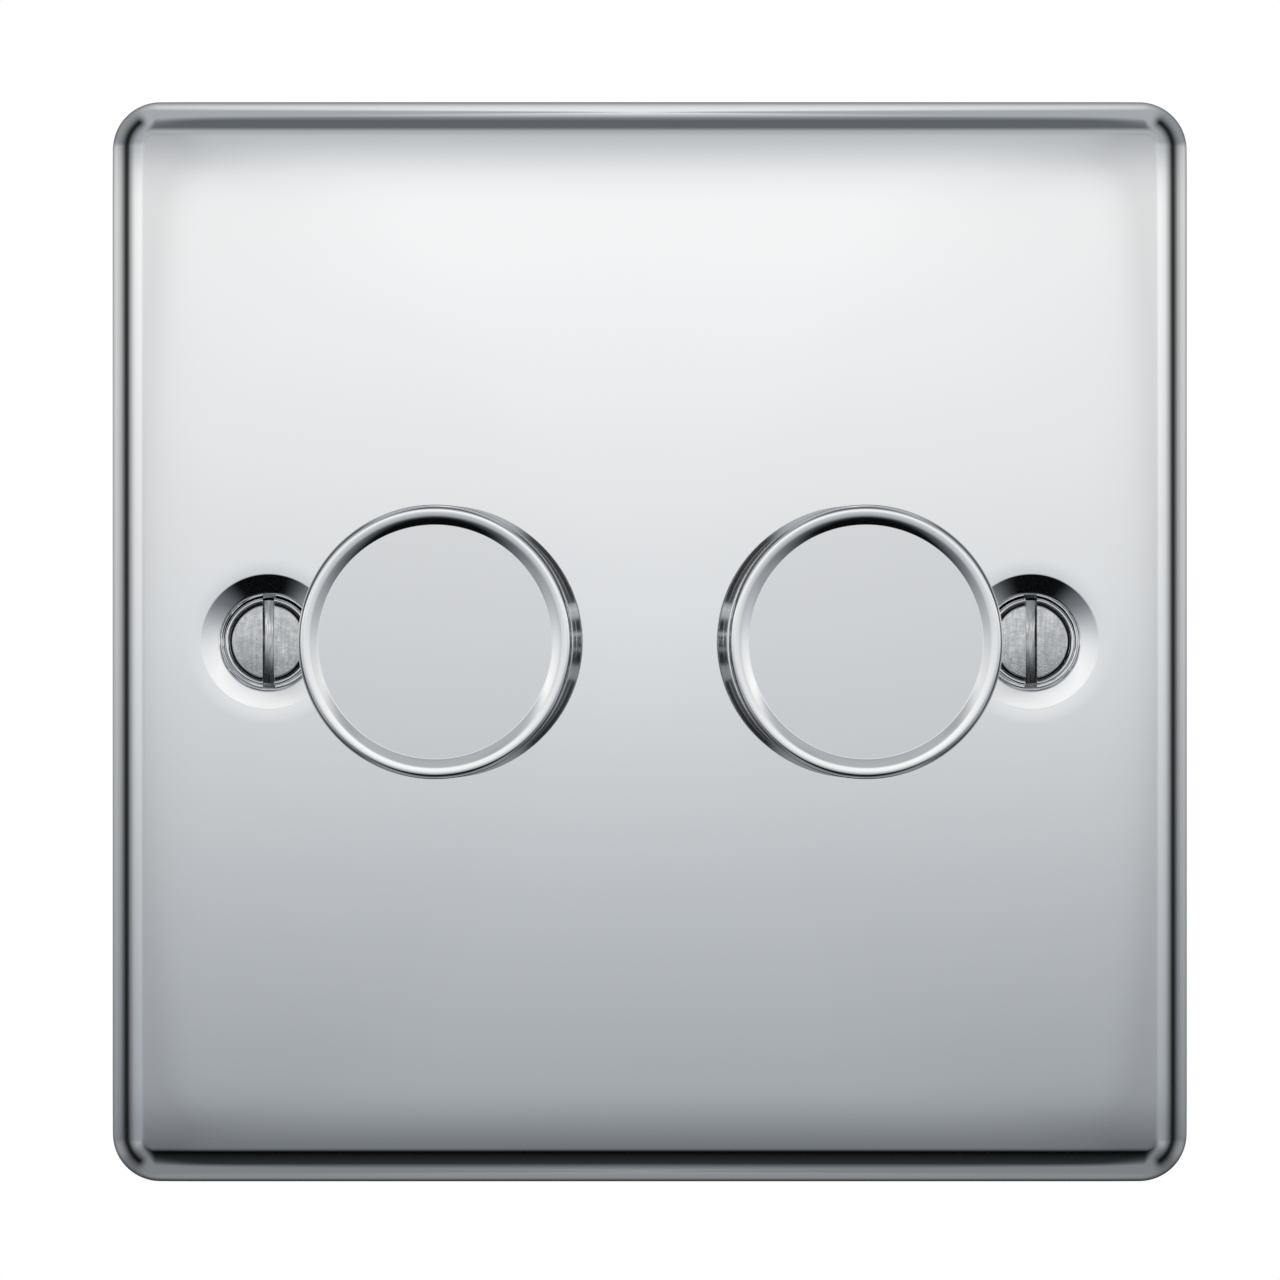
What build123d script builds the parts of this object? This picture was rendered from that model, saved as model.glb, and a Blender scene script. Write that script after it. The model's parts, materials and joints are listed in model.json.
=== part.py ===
from build123d import *
import os
from math import cos, pi, radians, sin, tan

# Double dimmer switch on a pressed metal plate, for a single wall box.
# Millimetres. X is to the right and Z is up, seen from the room. Y runs into the wall: the plate's rim
# stands on the wall plane Y = 0, what the room sees has a negative Y and what is in the box a positive one.
# The origin is the middle of the wall plane, halfway between the two fixing screws.

# Face plate, one pressed sheet
PLATE_WIDTH = 86.0
PLATE_HEIGHT = 86.4
PLATE_DEPTH = 5.0
SHEET = 1.0
CORNER_RADIUS = 3.85
EDGE_RADIUS = 3.1
PILLOW_RADIUS = 100.0
PILLOW_ANGLE = 2.6

# Wall fixings and the dishes that they sit in
FIXING_SPACING = 60.3
FIXING_THREAD = 3.5
FIXING_NECK = 3.1
FIXING_REACH = 22.0
HEAD_DIAMETER = 7.0
HEAD_FACE = 5.7
HEAD_RIM = 0.25
HEAD_BEVEL = 0.6
DISH_DIAMETER = 10.8
DISH_ANGLE = 10.8
SEAT_DIAMETER = 8.4
SEAT_ANGLE = 45.0
DISH_HOLE = 4.1
DRIVER_SLOT = 0.9
DRIVER_SLOT_DEPTH = 0.7

# Insulating liner inside the plate
LINER_FACE = 1.3
LINER_WALL = 1.6
LINER_SETBACK = 0.3
LINER_CHAMFER = 2.6
FENCE_WALL = 1.2
FENCE_HEIGHT = 1.6

# Knobs
SPINDLE_SPACING = 32.0
KNOB_DIAMETER = 20.4
KNOB_BASE_DIAMETER = 21.3
SKIRT_FLARE = 0.1
FOOT_HEIGHT = 0.65
FOOT_EDGE = 0.2
KNOB_LENGTH = 12.0
KNOB_EDGE = 0.6
KNOB_WALL = 1.3
KNOB_FACE = 1.6
FACE_DIAMETER = 17.4
FACE_RECESS = 0.19
KNOB_STANDOFF = 2.0
BOSS_DIAMETER = 9.2
BOSS_SLIT = 0.8
CLIP_STRIP = 0.4
CLIP_WIDTH = 2.4
PUSH_TRAVEL = 1.2

# Rotary control: bush, shaft, rotor, track and push switch
SHAFT_DIAMETER = 6.0
SHAFT_FLAT = 4.6
BUSH_DIAMETER = 10.0
BUSH_BEYOND_NUT = 1.0
NUT_ACROSS_FLATS = 14.0
NUT_THICKNESS = 2.5
WASHER_DIAMETER = 16.0
WASHER_THICKNESS = 0.6
CONTROL_WIDTH = 15.0
FLANGE = 1.4
CIRCLIP_DIAMETER = 8.4
CIRCLIP_STRIP = 0.6
GROOVE_DIAMETER = 4.8
ROTOR_DIAMETER = 13.0
ROTOR_THICKNESS = 2.4
WIPER_STRIP = 0.2
WIPER_CONTACT = 0.4
WIPER_INNER = 8.6
WAFER = 1.2
TRACK_PIN = 0.7
TRACK_PIN_PITCH = 5.0
SWITCH_WIDTH = 13.0
SWITCH_DEPTH = 6.3
SWITCH_FLOOR = 0.8
SLIDER_WIDTH = 8.0
SLIDER_THICKNESS = 2.0
SPRING_DIAMETER = 4.2
SPRING_WIRE = 0.4
SPRING_TURNS = 3
SPRING_BENDS = 12

# Housing, cover and circuit board
HOUSING_WIDTH = 51.0
HOUSING_HEIGHT = 50.0
HOUSING_FRONT = 1.6
HOUSING_WALL = 1.5
HOUSING_CORNER = 1.5
COVER = 2.0
HOOK_WIDTH = 5.0
HOOK_STRIP = 1.2
HOOK_LENGTH = 4.0
HOOK_BARB = 0.8
HOOK_OFFSET = 13.0
HEAT_SINK = 1.2
HEAT_SINK_HEIGHT = 29.5
HEAT_SINK_TOP = 20.6
POST = 2.6
BOARD = 1.6
BOARD_CLEARANCE = 0.2
REAR_SPACE = 8.0
VENT_COUNT = 7
VENT_PITCH = 5.2
VENT_WIDTH = 1.8
VENT_LENGTH = 12.0
VENT_MIDDLE = 12.0

# Terminals
TERMINALS_EACH = 3
TERMINAL_PITCH = 7.6
TERMINAL_MIDDLE = 12.2
TERMINAL_WIDTH = 5.6
TERMINAL_HEIGHT = 7.0
TERMINAL_DEPTH = 7.0
WIRE_BORE = 3.5
WIRE_AXIS_DEPTH = 2.6
PINCH_SCREW = 3.0
PINCH_HEAD = 5.2
PINCH_HEAD_THICKNESS = 2.0
WIRE_NOTCH = 6.2
EARTH_WIDTH = 7.0
EARTH_HEIGHT = 7.0
EARTH_DEPTH = 10.5
EARTH_DROP = 32.5

# Electronic pieces
TRANSISTOR_WIDTH = 10.0
TRANSISTOR_PITCH = 10.5
TRANSISTOR_BODY = 9.0
TRANSISTOR_TAB = 2.6
TRANSISTOR_THICKNESS = 4.4
TAB_THICKNESS = 1.2
LEAD = 0.8
LEAD_PITCH = 2.54
CHOKE_DIAMETER = 13.6
CHOKE_HOLE = 5.6
CHOKE_HEIGHT = 5.6
CHOKE_TURNS = 20
FILM_WIDTH = 13.0
FILM_HEIGHT = 6.0
FILM_DEPTH = 7.2
FILM_DROP = 9.5
CAN_DIAMETER = 6.4
CAN_LENGTH = 11.0
CAN_RISE = 1.0
CHIP_WIDTH = 6.2
CHIP_HEIGHT = 5.0
CHIP_DEPTH = 1.7
CHIP_RISE = 12.0

# Clearances
RUNNING = 0.05
SEAT = 0.1
FREE = 0.2
GUARD = 0.3

# Places along Y, from the room to the back of the box
PLATE_FACE = -PLATE_DEPTH
LINER_FRONT = PLATE_FACE + SHEET + SEAT
LINER_BACK = LINER_FRONT + LINER_FACE
HOUSING_INSIDE = LINER_BACK + HOUSING_FRONT
FLANGE_FRONT = HOUSING_INSIDE + HEAT_SINK
FLANGE_BACK = FLANGE_FRONT + FLANGE
ROTOR_FRONT = FLANGE_BACK + FREE
ROTOR_BACK = ROTOR_FRONT + ROTOR_THICKNESS
WAFER_FRONT = ROTOR_BACK + WIPER_STRIP + WIPER_CONTACT + SEAT
WAFER_BACK = WAFER_FRONT + WAFER
SHAFT_END = WAFER_BACK + SEAT
SLIDER_FRONT = SHAFT_END + SEAT
SLIDER_BACK = SLIDER_FRONT + SLIDER_THICKNESS
BOARD_FRONT = WAFER_BACK + SWITCH_DEPTH
SPRING_SEAT = BOARD_FRONT - SWITCH_FLOOR
BOARD_BACK = BOARD_FRONT + BOARD
COVER_FRONT = BOARD_BACK + REAR_SPACE
COVER_BACK = COVER_FRONT + COVER
WASHER_FRONT = PLATE_FACE - WASHER_THICKNESS
NUT_FRONT = WASHER_FRONT - NUT_THICKNESS
BUSH_END = NUT_FRONT - BUSH_BEYOND_NUT
KNOB_BASE = PLATE_FACE - KNOB_STANDOFF
KNOB_FRONT = KNOB_BASE - KNOB_LENGTH
BOSS_END = BUSH_END - PUSH_TRAVEL - 2 * FREE
BORE_END = KNOB_FRONT + KNOB_FACE
CIRCLIP_BACK = FLANGE_BACK - GUARD
CIRCLIP_FRONT = CIRCLIP_BACK - CIRCLIP_STRIP
TERMINAL_BACK = BOARD_BACK + TERMINAL_DEPTH
WIRE_AXIS = BOARD_BACK + WIRE_AXIS_DEPTH

# Places across the wall
FIXING_X = FIXING_SPACING / 2
SPINDLE_X = SPINDLE_SPACING / 2
INSIDE_X = HOUSING_WIDTH / 2 - HOUSING_WALL
INSIDE_Z = HOUSING_HEIGHT / 2 - HOUSING_WALL
CONTROL_HALF = CONTROL_WIDTH / 2
TERMINAL_BOTTOM = BOARD_CLEARANCE - INSIDE_Z
TERMINAL_Z = TERMINAL_BOTTOM + TERMINAL_HEIGHT / 2
PILLOW_DROP = PILLOW_RADIUS * (1 - cos(radians(PILLOW_ANGLE)))
BEND_START = PLATE_FACE + PILLOW_DROP + EDGE_RADIUS * cos(radians(PILLOW_ANGLE))
SIDES = {"left": -1, "right": 1}


def across(y, x=0.0, z=0.0):
    """A plane parallel to the wall: its x is X, its y is Z, and it faces the room."""
    return Plane(origin=(x, y, z), x_dir=(1, 0, 0), z_dir=(0, -1, 0))


def through(x=0.0, z=0.0):
    """A level plane through a spindle or screw axis: its x is X and its y is Y."""
    return Plane(origin=(x, 0, z), x_dir=(1, 0, 0), z_dir=(0, 0, 1))


def along_y(x=0.0, z=0.0):
    """An axis along Y through that place on the wall."""
    return Axis((x, 0, z), (0, 1, 0))


def write(part, name):
    """Labels one finished piece and writes it to its own file."""
    part.label = name
    export_step(part, f"parts/{name}.step")


def rim_lines(half_span, inset):
    """Half of the pressed form's section, moved inwards: upright wall, tight bend and slow pillow."""
    wall = Line((half_span - inset, 0), (half_span - inset, BEND_START))
    bend = JernArc(wall @ 1, wall % 1, EDGE_RADIUS - inset, PILLOW_ANGLE - 90)
    pillow = JernArc(bend @ 1, bend % 1, PILLOW_RADIUS - inset, -PILLOW_ANGLE)
    face = Line(pillow @ 1, (0, (pillow @ 1).Y))
    Polyline(face @ 1, (0, 0), wall @ 0)


def pressed_form(inset):
    """The plate's outer shape as a solid, moved inwards by inset on every face but the back."""
    corner_x = PLATE_WIDTH / 2 - CORNER_RADIUS
    corner_z = PLATE_HEIGHT / 2 - CORNER_RADIUS
    upright = Plane(origin=(0, 0, 0), x_dir=(0, 0, 1), z_dir=(-1, 0, 0))
    with BuildPart() as form:
        with BuildSketch(through()):
            with BuildLine():
                rim_lines(PLATE_WIDTH / 2, inset)
            make_face()
        extrude(amount=PLATE_HEIGHT / 2 - inset)
        with BuildSketch(upright):
            with BuildLine():
                rim_lines(PLATE_HEIGHT / 2, inset)
            make_face()
        extrude(amount=inset - PLATE_WIDTH / 2, mode=Mode.INTERSECT)
        with BuildSketch(across(0, corner_x, corner_z)):
            Rectangle(CORNER_RADIUS, CORNER_RADIUS, align=(Align.MIN, Align.MIN))
        extrude(amount=PLATE_DEPTH, mode=Mode.SUBTRACT)
        with BuildSketch(through(z=corner_z)):
            with BuildLine():
                rim_lines(PLATE_WIDTH / 2, inset)
            make_face()
            beyond_corner = (Align.MIN, Align.CENTER)
            with Locations((corner_x, 0)):
                Rectangle(CORNER_RADIUS, 2 * PLATE_DEPTH, align=beyond_corner, mode=Mode.INTERSECT)
        revolve(axis=Axis((corner_x, 0, corner_z), (0, -1, 0)), revolution_arc=90)
        mirror(about=Plane.YZ)
        mirror(about=Plane.XY)
    return form.part


def seat_y(radius):
    """The Y of the screw's sloping seat at that distance from the screw's axis."""
    seat_lip = PLATE_FACE + (DISH_DIAMETER - SEAT_DIAMETER) / 2 * tan(radians(DISH_ANGLE))
    return seat_lip + (SEAT_DIAMETER / 2 - radius) * tan(radians(SEAT_ANGLE))


def make_face_plate():
    lip = DISH_DIAMETER / 2
    seat = SEAT_DIAMETER / 2
    hole = DISH_HOLE / 2
    sheet_back = PLATE_FACE + SHEET
    seat_back = SHEET / cos(radians(SEAT_ANGLE))
    outside = pressed_form(0)
    inside = pressed_form(SHEET)
    with BuildPart() as face_plate:
        add(outside)
        add(inside, mode=Mode.SUBTRACT)
        with BuildSketch(across(0)):
            with Locations((-FIXING_X, 0), (FIXING_X, 0)):
                Circle(lip)
            with Locations((-SPINDLE_X, 0), (SPINDLE_X, 0)):
                Circle(BUSH_DIAMETER / 2 + SEAT)
        extrude(amount=PLATE_DEPTH, mode=Mode.SUBTRACT)
        for side in SIDES.values():
            with BuildSketch(through(side * FIXING_X)):
                with BuildLine():
                    Polyline(
                        (lip, PLATE_FACE),
                        (seat, seat_y(seat)),
                        (hole, seat_y(hole)),
                        (hole, seat_y(hole) + seat_back),
                        (seat, seat_y(seat) + seat_back),
                        (lip, sheet_back),
                        close=True,
                    )
                make_face()
            revolve(axis=along_y(side * FIXING_X))
    write(face_plate.part, "face_plate")


def make_back_liner():
    inset = SHEET + SEAT
    width = PLATE_WIDTH - 2 * inset
    height = PLATE_HEIGHT - 2 * inset
    corner = CORNER_RADIUS - inset
    with BuildPart() as back_liner:
        with BuildSketch(across(-LINER_SETBACK)):
            RectangleRounded(width, height, corner)
        extrude(amount=-LINER_SETBACK - LINER_FRONT)
        chamfer(back_liner.faces().sort_by(Axis.Y)[0].edges(), LINER_CHAMFER)
        with BuildSketch(across(-LINER_SETBACK)):
            RectangleRounded(width - 2 * LINER_WALL, height - 2 * LINER_WALL, corner - LINER_WALL / 2)
        extrude(amount=-LINER_SETBACK - LINER_BACK, mode=Mode.SUBTRACT)
        with BuildSketch(across(LINER_BACK + FENCE_HEIGHT)):
            Rectangle(HOUSING_WIDTH + 2 * (FREE + FENCE_WALL), HOUSING_HEIGHT + 2 * (FREE + FENCE_WALL))
            Rectangle(HOUSING_WIDTH + 2 * FREE, HOUSING_HEIGHT + 2 * FREE, mode=Mode.SUBTRACT)
        extrude(amount=FENCE_HEIGHT)
        with BuildSketch(across(0)):
            with Locations((-FIXING_X, 0), (FIXING_X, 0)):
                Circle(DISH_DIAMETER / 2 + GUARD)
            with Locations((-SPINDLE_X, 0), (SPINDLE_X, 0)):
                Circle(BUSH_DIAMETER / 2 + SEAT)
            with Locations((0, -EARTH_DROP)):
                Rectangle(EARTH_WIDTH + 2 * FREE, EARTH_HEIGHT + 2 * FREE)
        extrude(amount=PLATE_DEPTH, mode=Mode.SUBTRACT)
    write(back_liner.part, "back_liner")


def make_fixing_screw(side, x):
    cone_run = (HEAD_DIAMETER - FIXING_NECK) / 2
    rim_back = seat_y(HEAD_DIAMETER / 2) - RUNNING
    rim_front = rim_back - HEAD_RIM
    head_front = rim_front - HEAD_BEVEL
    cone_back = rim_back + cone_run * tan(radians(SEAT_ANGLE))
    with BuildPart() as fixing_screw:
        with BuildSketch(through(x)):
            with BuildLine():
                Polyline(
                    (0, head_front),
                    (HEAD_FACE / 2, head_front),
                    (HEAD_DIAMETER / 2, rim_front),
                    (HEAD_DIAMETER / 2, rim_back),
                    (FIXING_NECK / 2, cone_back),
                    (FIXING_NECK / 2, 0),
                    (FIXING_THREAD / 2, 0),
                    (FIXING_THREAD / 2, FIXING_REACH),
                    (0, FIXING_REACH),
                    close=True,
                )
            make_face()
        revolve(axis=along_y(x))
        with BuildSketch(across(head_front + DRIVER_SLOT_DEPTH, x)):
            Rectangle(DRIVER_SLOT, HEAD_DIAMETER)
        extrude(amount=DRIVER_SLOT_DEPTH, mode=Mode.SUBTRACT)
    write(fixing_screw.part, f"{side}_fixing_screw")


def make_earth_terminal():
    block_back = PLATE_FACE + SHEET + EARTH_DEPTH
    wire_axis = block_back - TERMINAL_DEPTH + WIRE_AXIS_DEPTH
    with BuildPart() as earth_terminal:
        with BuildSketch(across(block_back, z=-EARTH_DROP)):
            Rectangle(EARTH_WIDTH, EARTH_HEIGHT)
        extrude(amount=EARTH_DEPTH)
        with BuildSketch(Plane(origin=(0, wire_axis, -EARTH_DROP))):
            Circle(WIRE_BORE / 2)
        extrude(amount=EARTH_HEIGHT, both=True, mode=Mode.SUBTRACT)
        with BuildSketch(across(block_back, z=-EARTH_DROP)):
            Circle(PINCH_SCREW / 2)
        extrude(amount=block_back - wire_axis, mode=Mode.SUBTRACT)
    write(earth_terminal.part, "earth_terminal")
    write(pinch_screw(0, -EARTH_DROP, block_back, wire_axis), "earth_screw")


def pinch_screw(x, z, block_back, wire_axis):
    """A slotted clamp screw, backed out of the wire's way."""
    head_front = block_back + FREE
    head_back = head_front + PINCH_HEAD_THICKNESS
    with BuildPart() as screw:
        with BuildSketch(across(head_back, x, z)):
            Circle(PINCH_HEAD / 2)
        extrude(amount=PINCH_HEAD_THICKNESS)
        with BuildSketch(across(head_front, x, z)):
            Circle(PINCH_SCREW / 2 - RUNNING)
        extrude(amount=head_front - wire_axis - WIRE_BORE / 2 - FREE)
        with BuildSketch(across(head_back, x, z)):
            Rectangle(PINCH_HEAD, DRIVER_SLOT)
        extrude(amount=DRIVER_SLOT_DEPTH, mode=Mode.SUBTRACT)
    return screw.part


def make_housing():
    with BuildPart() as dimmer_housing:
        with BuildSketch(across(COVER_FRONT)):
            RectangleRounded(HOUSING_WIDTH, HOUSING_HEIGHT, HOUSING_CORNER)
        extrude(amount=COVER_FRONT - LINER_BACK)
        with BuildSketch(across(COVER_FRONT)):
            Rectangle(2 * INSIDE_X, 2 * INSIDE_Z)
        extrude(amount=COVER_FRONT - HOUSING_INSIDE, mode=Mode.SUBTRACT)
        with BuildSketch(across(BOARD_FRONT)):
            with GridLocations(2 * INSIDE_X - POST, 2 * INSIDE_Z - POST, 2, 2):
                Rectangle(POST, POST)
        extrude(amount=BOARD_FRONT - HOUSING_INSIDE)
        with BuildSketch(across(LINER_BACK)):
            with Locations((-SPINDLE_X, 0), (SPINDLE_X, 0)):
                Circle(BUSH_DIAMETER / 2 + SEAT)
        extrude(amount=-HOUSING_FRONT, mode=Mode.SUBTRACT)
        with BuildSketch(Plane.XY.offset(-HOUSING_HEIGHT / 2)):
            with Locations(*[(x, COVER_FRONT) for x in terminal_places()]):
                Rectangle(WIRE_NOTCH, 2 * REAR_SPACE)
        extrude(amount=HOUSING_WALL, mode=Mode.SUBTRACT)
        with BuildSketch(across(COVER_FRONT - HOOK_LENGTH + HOOK_BARB + 2 * FREE)):
            with GridLocations(HOUSING_WIDTH - HOUSING_WALL, 2 * HOOK_OFFSET, 2, 2):
                Rectangle(2 * HOUSING_WALL, HOOK_WIDTH + 2 * FREE)
        extrude(amount=HOOK_BARB + 4 * FREE, mode=Mode.SUBTRACT)
    write(dimmer_housing.part, "dimmer_housing")


def terminal_places(sides=(-1, 1)):
    """The X of each live terminal on the given sides."""
    first = TERMINAL_MIDDLE - (TERMINALS_EACH - 1) / 2 * TERMINAL_PITCH
    return [side * (first + i * TERMINAL_PITCH) for side in sides for i in range(TERMINALS_EACH)]


def make_rear_cover():
    barb_front = COVER_FRONT - HOOK_LENGTH
    with BuildPart() as rear_cover:
        with BuildSketch(across(COVER_BACK)):
            RectangleRounded(HOUSING_WIDTH, HOUSING_HEIGHT, HOUSING_CORNER)
            with Locations(*[(x, TERMINAL_Z) for x in terminal_places()]):
                Circle(PINCH_HEAD / 2 + GUARD, mode=Mode.SUBTRACT)
            with Locations((0, VENT_MIDDLE)):
                with GridLocations(VENT_PITCH, 0, VENT_COUNT, 1):
                    Rectangle(VENT_WIDTH, VENT_LENGTH, mode=Mode.SUBTRACT)
        extrude(amount=COVER)
        with BuildSketch(across(COVER_FRONT)):
            with GridLocations(2 * (INSIDE_X - SEAT) - HOOK_STRIP, 2 * HOOK_OFFSET, 2, 2):
                Rectangle(HOOK_STRIP, HOOK_WIDTH)
        extrude(amount=HOOK_LENGTH)
        with BuildSketch(across(barb_front + HOOK_BARB)):
            with GridLocations(2 * (INSIDE_X - SEAT) + HOOK_BARB, 2 * HOOK_OFFSET, 2, 2):
                Rectangle(HOOK_BARB, HOOK_WIDTH)
        extrude(amount=HOOK_BARB)
    write(rear_cover.part, "rear_cover")


def make_heat_sink():
    with BuildPart() as heat_sink:
        with BuildSketch(across(FLANGE_FRONT, z=HEAT_SINK_TOP)):
            Rectangle(2 * (INSIDE_X - FREE), HEAT_SINK_HEIGHT, align=(Align.CENTER, Align.MAX))
        extrude(amount=HEAT_SINK)
        with BuildSketch(across(FLANGE_FRONT)):
            with Locations((-SPINDLE_X, 0), (SPINDLE_X, 0)):
                Circle(BUSH_DIAMETER / 2 + SEAT)
        extrude(amount=HEAT_SINK, mode=Mode.SUBTRACT)
    write(heat_sink.part, "heat_sink")


def make_circuit_board():
    with BuildPart() as circuit_board:
        with BuildSketch(across(BOARD_BACK)):
            Rectangle(2 * (INSIDE_X - BOARD_CLEARANCE), 2 * (INSIDE_Z - BOARD_CLEARANCE))
        extrude(amount=BOARD)
    write(circuit_board.part, "circuit_board")


def d_section(diameter, flat):
    """A round section with one flat on its upper side, added to the sketch that is being drawn."""
    Circle(diameter / 2)
    with Locations((0, flat - diameter / 2)):
        Rectangle(diameter, diameter, align=(Align.CENTER, Align.MIN), mode=Mode.SUBTRACT)


def make_knob(side, x):
    with BuildPart() as knob:
        with BuildSketch(through(x)):
            with BuildLine():
                Polyline(
                    (0, KNOB_FRONT + FACE_RECESS),
                    (FACE_DIAMETER / 2, KNOB_FRONT + FACE_RECESS),
                    (KNOB_DIAMETER / 2 - KNOB_EDGE, KNOB_FRONT),
                    (KNOB_DIAMETER / 2, KNOB_FRONT),
                    (KNOB_DIAMETER / 2 + SKIRT_FLARE, KNOB_BASE - FOOT_HEIGHT),
                    (KNOB_BASE_DIAMETER / 2, KNOB_BASE - FOOT_EDGE),
                    (KNOB_BASE_DIAMETER / 2, KNOB_BASE),
                    (KNOB_DIAMETER / 2 - KNOB_WALL, KNOB_BASE),
                    (KNOB_DIAMETER / 2 - KNOB_WALL, BORE_END),
                    (BOSS_DIAMETER / 2, BORE_END),
                    (BOSS_DIAMETER / 2, BOSS_END),
                    (0, BOSS_END),
                    close=True,
                )
            make_face()
        revolve(axis=along_y(x))
        front_ring = knob.faces().filter_by(Axis.Y).sort_by(Axis.Y)[0]
        fillet(front_ring.outer_wire().edges(), KNOB_EDGE)
        with BuildSketch(across(BOSS_END, x)):
            d_section(SHAFT_DIAMETER + 2 * RUNNING, SHAFT_FLAT + 2 * RUNNING)
        extrude(amount=BOSS_END - BORE_END, mode=Mode.SUBTRACT)
        with BuildSketch(across(BOSS_END, x)):
            Rectangle(BOSS_SLIT, BOSS_DIAMETER, align=(Align.CENTER, Align.MAX))
        extrude(amount=BOSS_END - BORE_END, mode=Mode.SUBTRACT)
    write(knob.part, f"{side}_knob")


def split_ring(y, x, inner, outer, gap, width):
    """An open ring whose back is at y."""
    with BuildPart() as ring:
        with BuildSketch(across(y, x)):
            Circle(outer / 2)
            Circle(inner / 2, mode=Mode.SUBTRACT)
            Rectangle(gap, outer, align=(Align.CENTER, Align.MAX), mode=Mode.SUBTRACT)
        extrude(amount=width)
    return ring.part


def make_knob_clip(side, x):
    inner = BOSS_DIAMETER + 2 * RUNNING
    knob_clip = split_ring(BOSS_END - GUARD, x, inner, inner + 2 * CLIP_STRIP, 2 * BOSS_SLIT, CLIP_WIDTH)
    write(knob_clip, f"{side}_knob_clip")


def make_shaft(side, x):
    with BuildPart() as shaft:
        with BuildSketch(across(SHAFT_END, x)):
            d_section(SHAFT_DIAMETER, SHAFT_FLAT)
        extrude(amount=SHAFT_END - CIRCLIP_BACK)
        with BuildSketch(across(CIRCLIP_BACK, x)):
            Circle(SHAFT_DIAMETER / 2)
        extrude(amount=CIRCLIP_BACK - BUSH_END)
        with BuildSketch(across(BUSH_END, x)):
            d_section(SHAFT_DIAMETER, SHAFT_FLAT)
        extrude(amount=BUSH_END - BORE_END - FREE)
        with BuildSketch(across(CIRCLIP_BACK + RUNNING, x)):
            Circle(SHAFT_DIAMETER)
            Circle(GROOVE_DIAMETER / 2, mode=Mode.SUBTRACT)
        extrude(amount=CIRCLIP_STRIP + 2 * RUNNING, mode=Mode.SUBTRACT)
    write(shaft.part, f"{side}_shaft")


def make_circlip(side, x):
    inner = GROOVE_DIAMETER + 2 * RUNNING
    circlip = split_ring(CIRCLIP_BACK, x, inner, CIRCLIP_DIAMETER, GROOVE_DIAMETER / 2, CIRCLIP_STRIP)
    write(circlip, f"{side}_circlip")


def make_bush(side, x):
    with BuildPart() as bush:
        with BuildSketch(across(FLANGE_BACK, x)):
            Rectangle(CONTROL_WIDTH, CONTROL_WIDTH)
        extrude(amount=FLANGE)
        with BuildSketch(across(FLANGE_FRONT, x)):
            Circle(BUSH_DIAMETER / 2)
        extrude(amount=FLANGE_FRONT - BUSH_END)
        with BuildSketch(across(FLANGE_BACK, x)):
            Circle(SHAFT_DIAMETER / 2 + RUNNING)
        extrude(amount=FLANGE_BACK - BUSH_END, mode=Mode.SUBTRACT)
        with BuildSketch(across(FLANGE_BACK, x)):
            Circle(CIRCLIP_DIAMETER / 2 + FREE)
        extrude(amount=FLANGE_BACK - CIRCLIP_FRONT + SEAT, mode=Mode.SUBTRACT)
    write(bush.part, f"{side}_bush")


def make_washer_and_nut(side, x):
    bore = BUSH_DIAMETER / 2 + RUNNING
    with BuildPart() as washer:
        with BuildSketch(across(PLATE_FACE, x)):
            Circle(WASHER_DIAMETER / 2)
            Circle(bore, mode=Mode.SUBTRACT)
        extrude(amount=WASHER_THICKNESS)
    write(washer.part, f"{side}_washer")
    with BuildPart() as bush_nut:
        with BuildSketch(across(WASHER_FRONT, x)):
            RegularPolygon(NUT_ACROSS_FLATS / 2, 6, major_radius=False)
            Circle(bore, mode=Mode.SUBTRACT)
        extrude(amount=NUT_THICKNESS)
    write(bush_nut.part, f"{side}_bush_nut")


def make_control_case(side, x):
    with BuildPart() as control_case:
        with BuildSketch(across(WAFER_FRONT, x)):
            Rectangle(CONTROL_WIDTH, CONTROL_WIDTH)
            Circle(ROTOR_DIAMETER / 2 + GUARD, mode=Mode.SUBTRACT)
        extrude(amount=WAFER_FRONT - FLANGE_BACK)
    write(control_case.part, f"{side}_control_case")


def make_rotor(side, x):
    recess_back = CIRCLIP_BACK + PUSH_TRAVEL + FREE
    with BuildPart() as rotor:
        with BuildSketch(across(ROTOR_BACK, x)):
            Circle(ROTOR_DIAMETER / 2)
        extrude(amount=ROTOR_THICKNESS)
        with BuildSketch(across(recess_back, x)):
            Circle(CIRCLIP_DIAMETER / 2 + FREE)
        extrude(amount=recess_back - ROTOR_FRONT, mode=Mode.SUBTRACT)
        with BuildSketch(across(ROTOR_BACK, x)):
            d_section(SHAFT_DIAMETER + 2 * RUNNING, SHAFT_FLAT + 2 * RUNNING)
        extrude(amount=ROTOR_THICKNESS, mode=Mode.SUBTRACT)
    write(rotor.part, f"{side}_rotor")


def make_wiper(side, x):
    strip_back = ROTOR_BACK + WIPER_STRIP
    middle = (WIPER_INNER + ROTOR_DIAMETER) / 4
    pad = (ROTOR_DIAMETER - WIPER_INNER) / 4
    strip = split_ring(strip_back, x, WIPER_INNER, ROTOR_DIAMETER - 2 * FREE, WIPER_INNER / 2, WIPER_STRIP)
    with BuildPart() as wiper:
        add(strip)
        with BuildSketch(across(strip_back + WIPER_CONTACT, x)):
            with PolarLocations(middle, 2):
                Rectangle(pad, pad)
        extrude(amount=WIPER_CONTACT)
    write(wiper.part, f"{side}_wiper")


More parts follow.
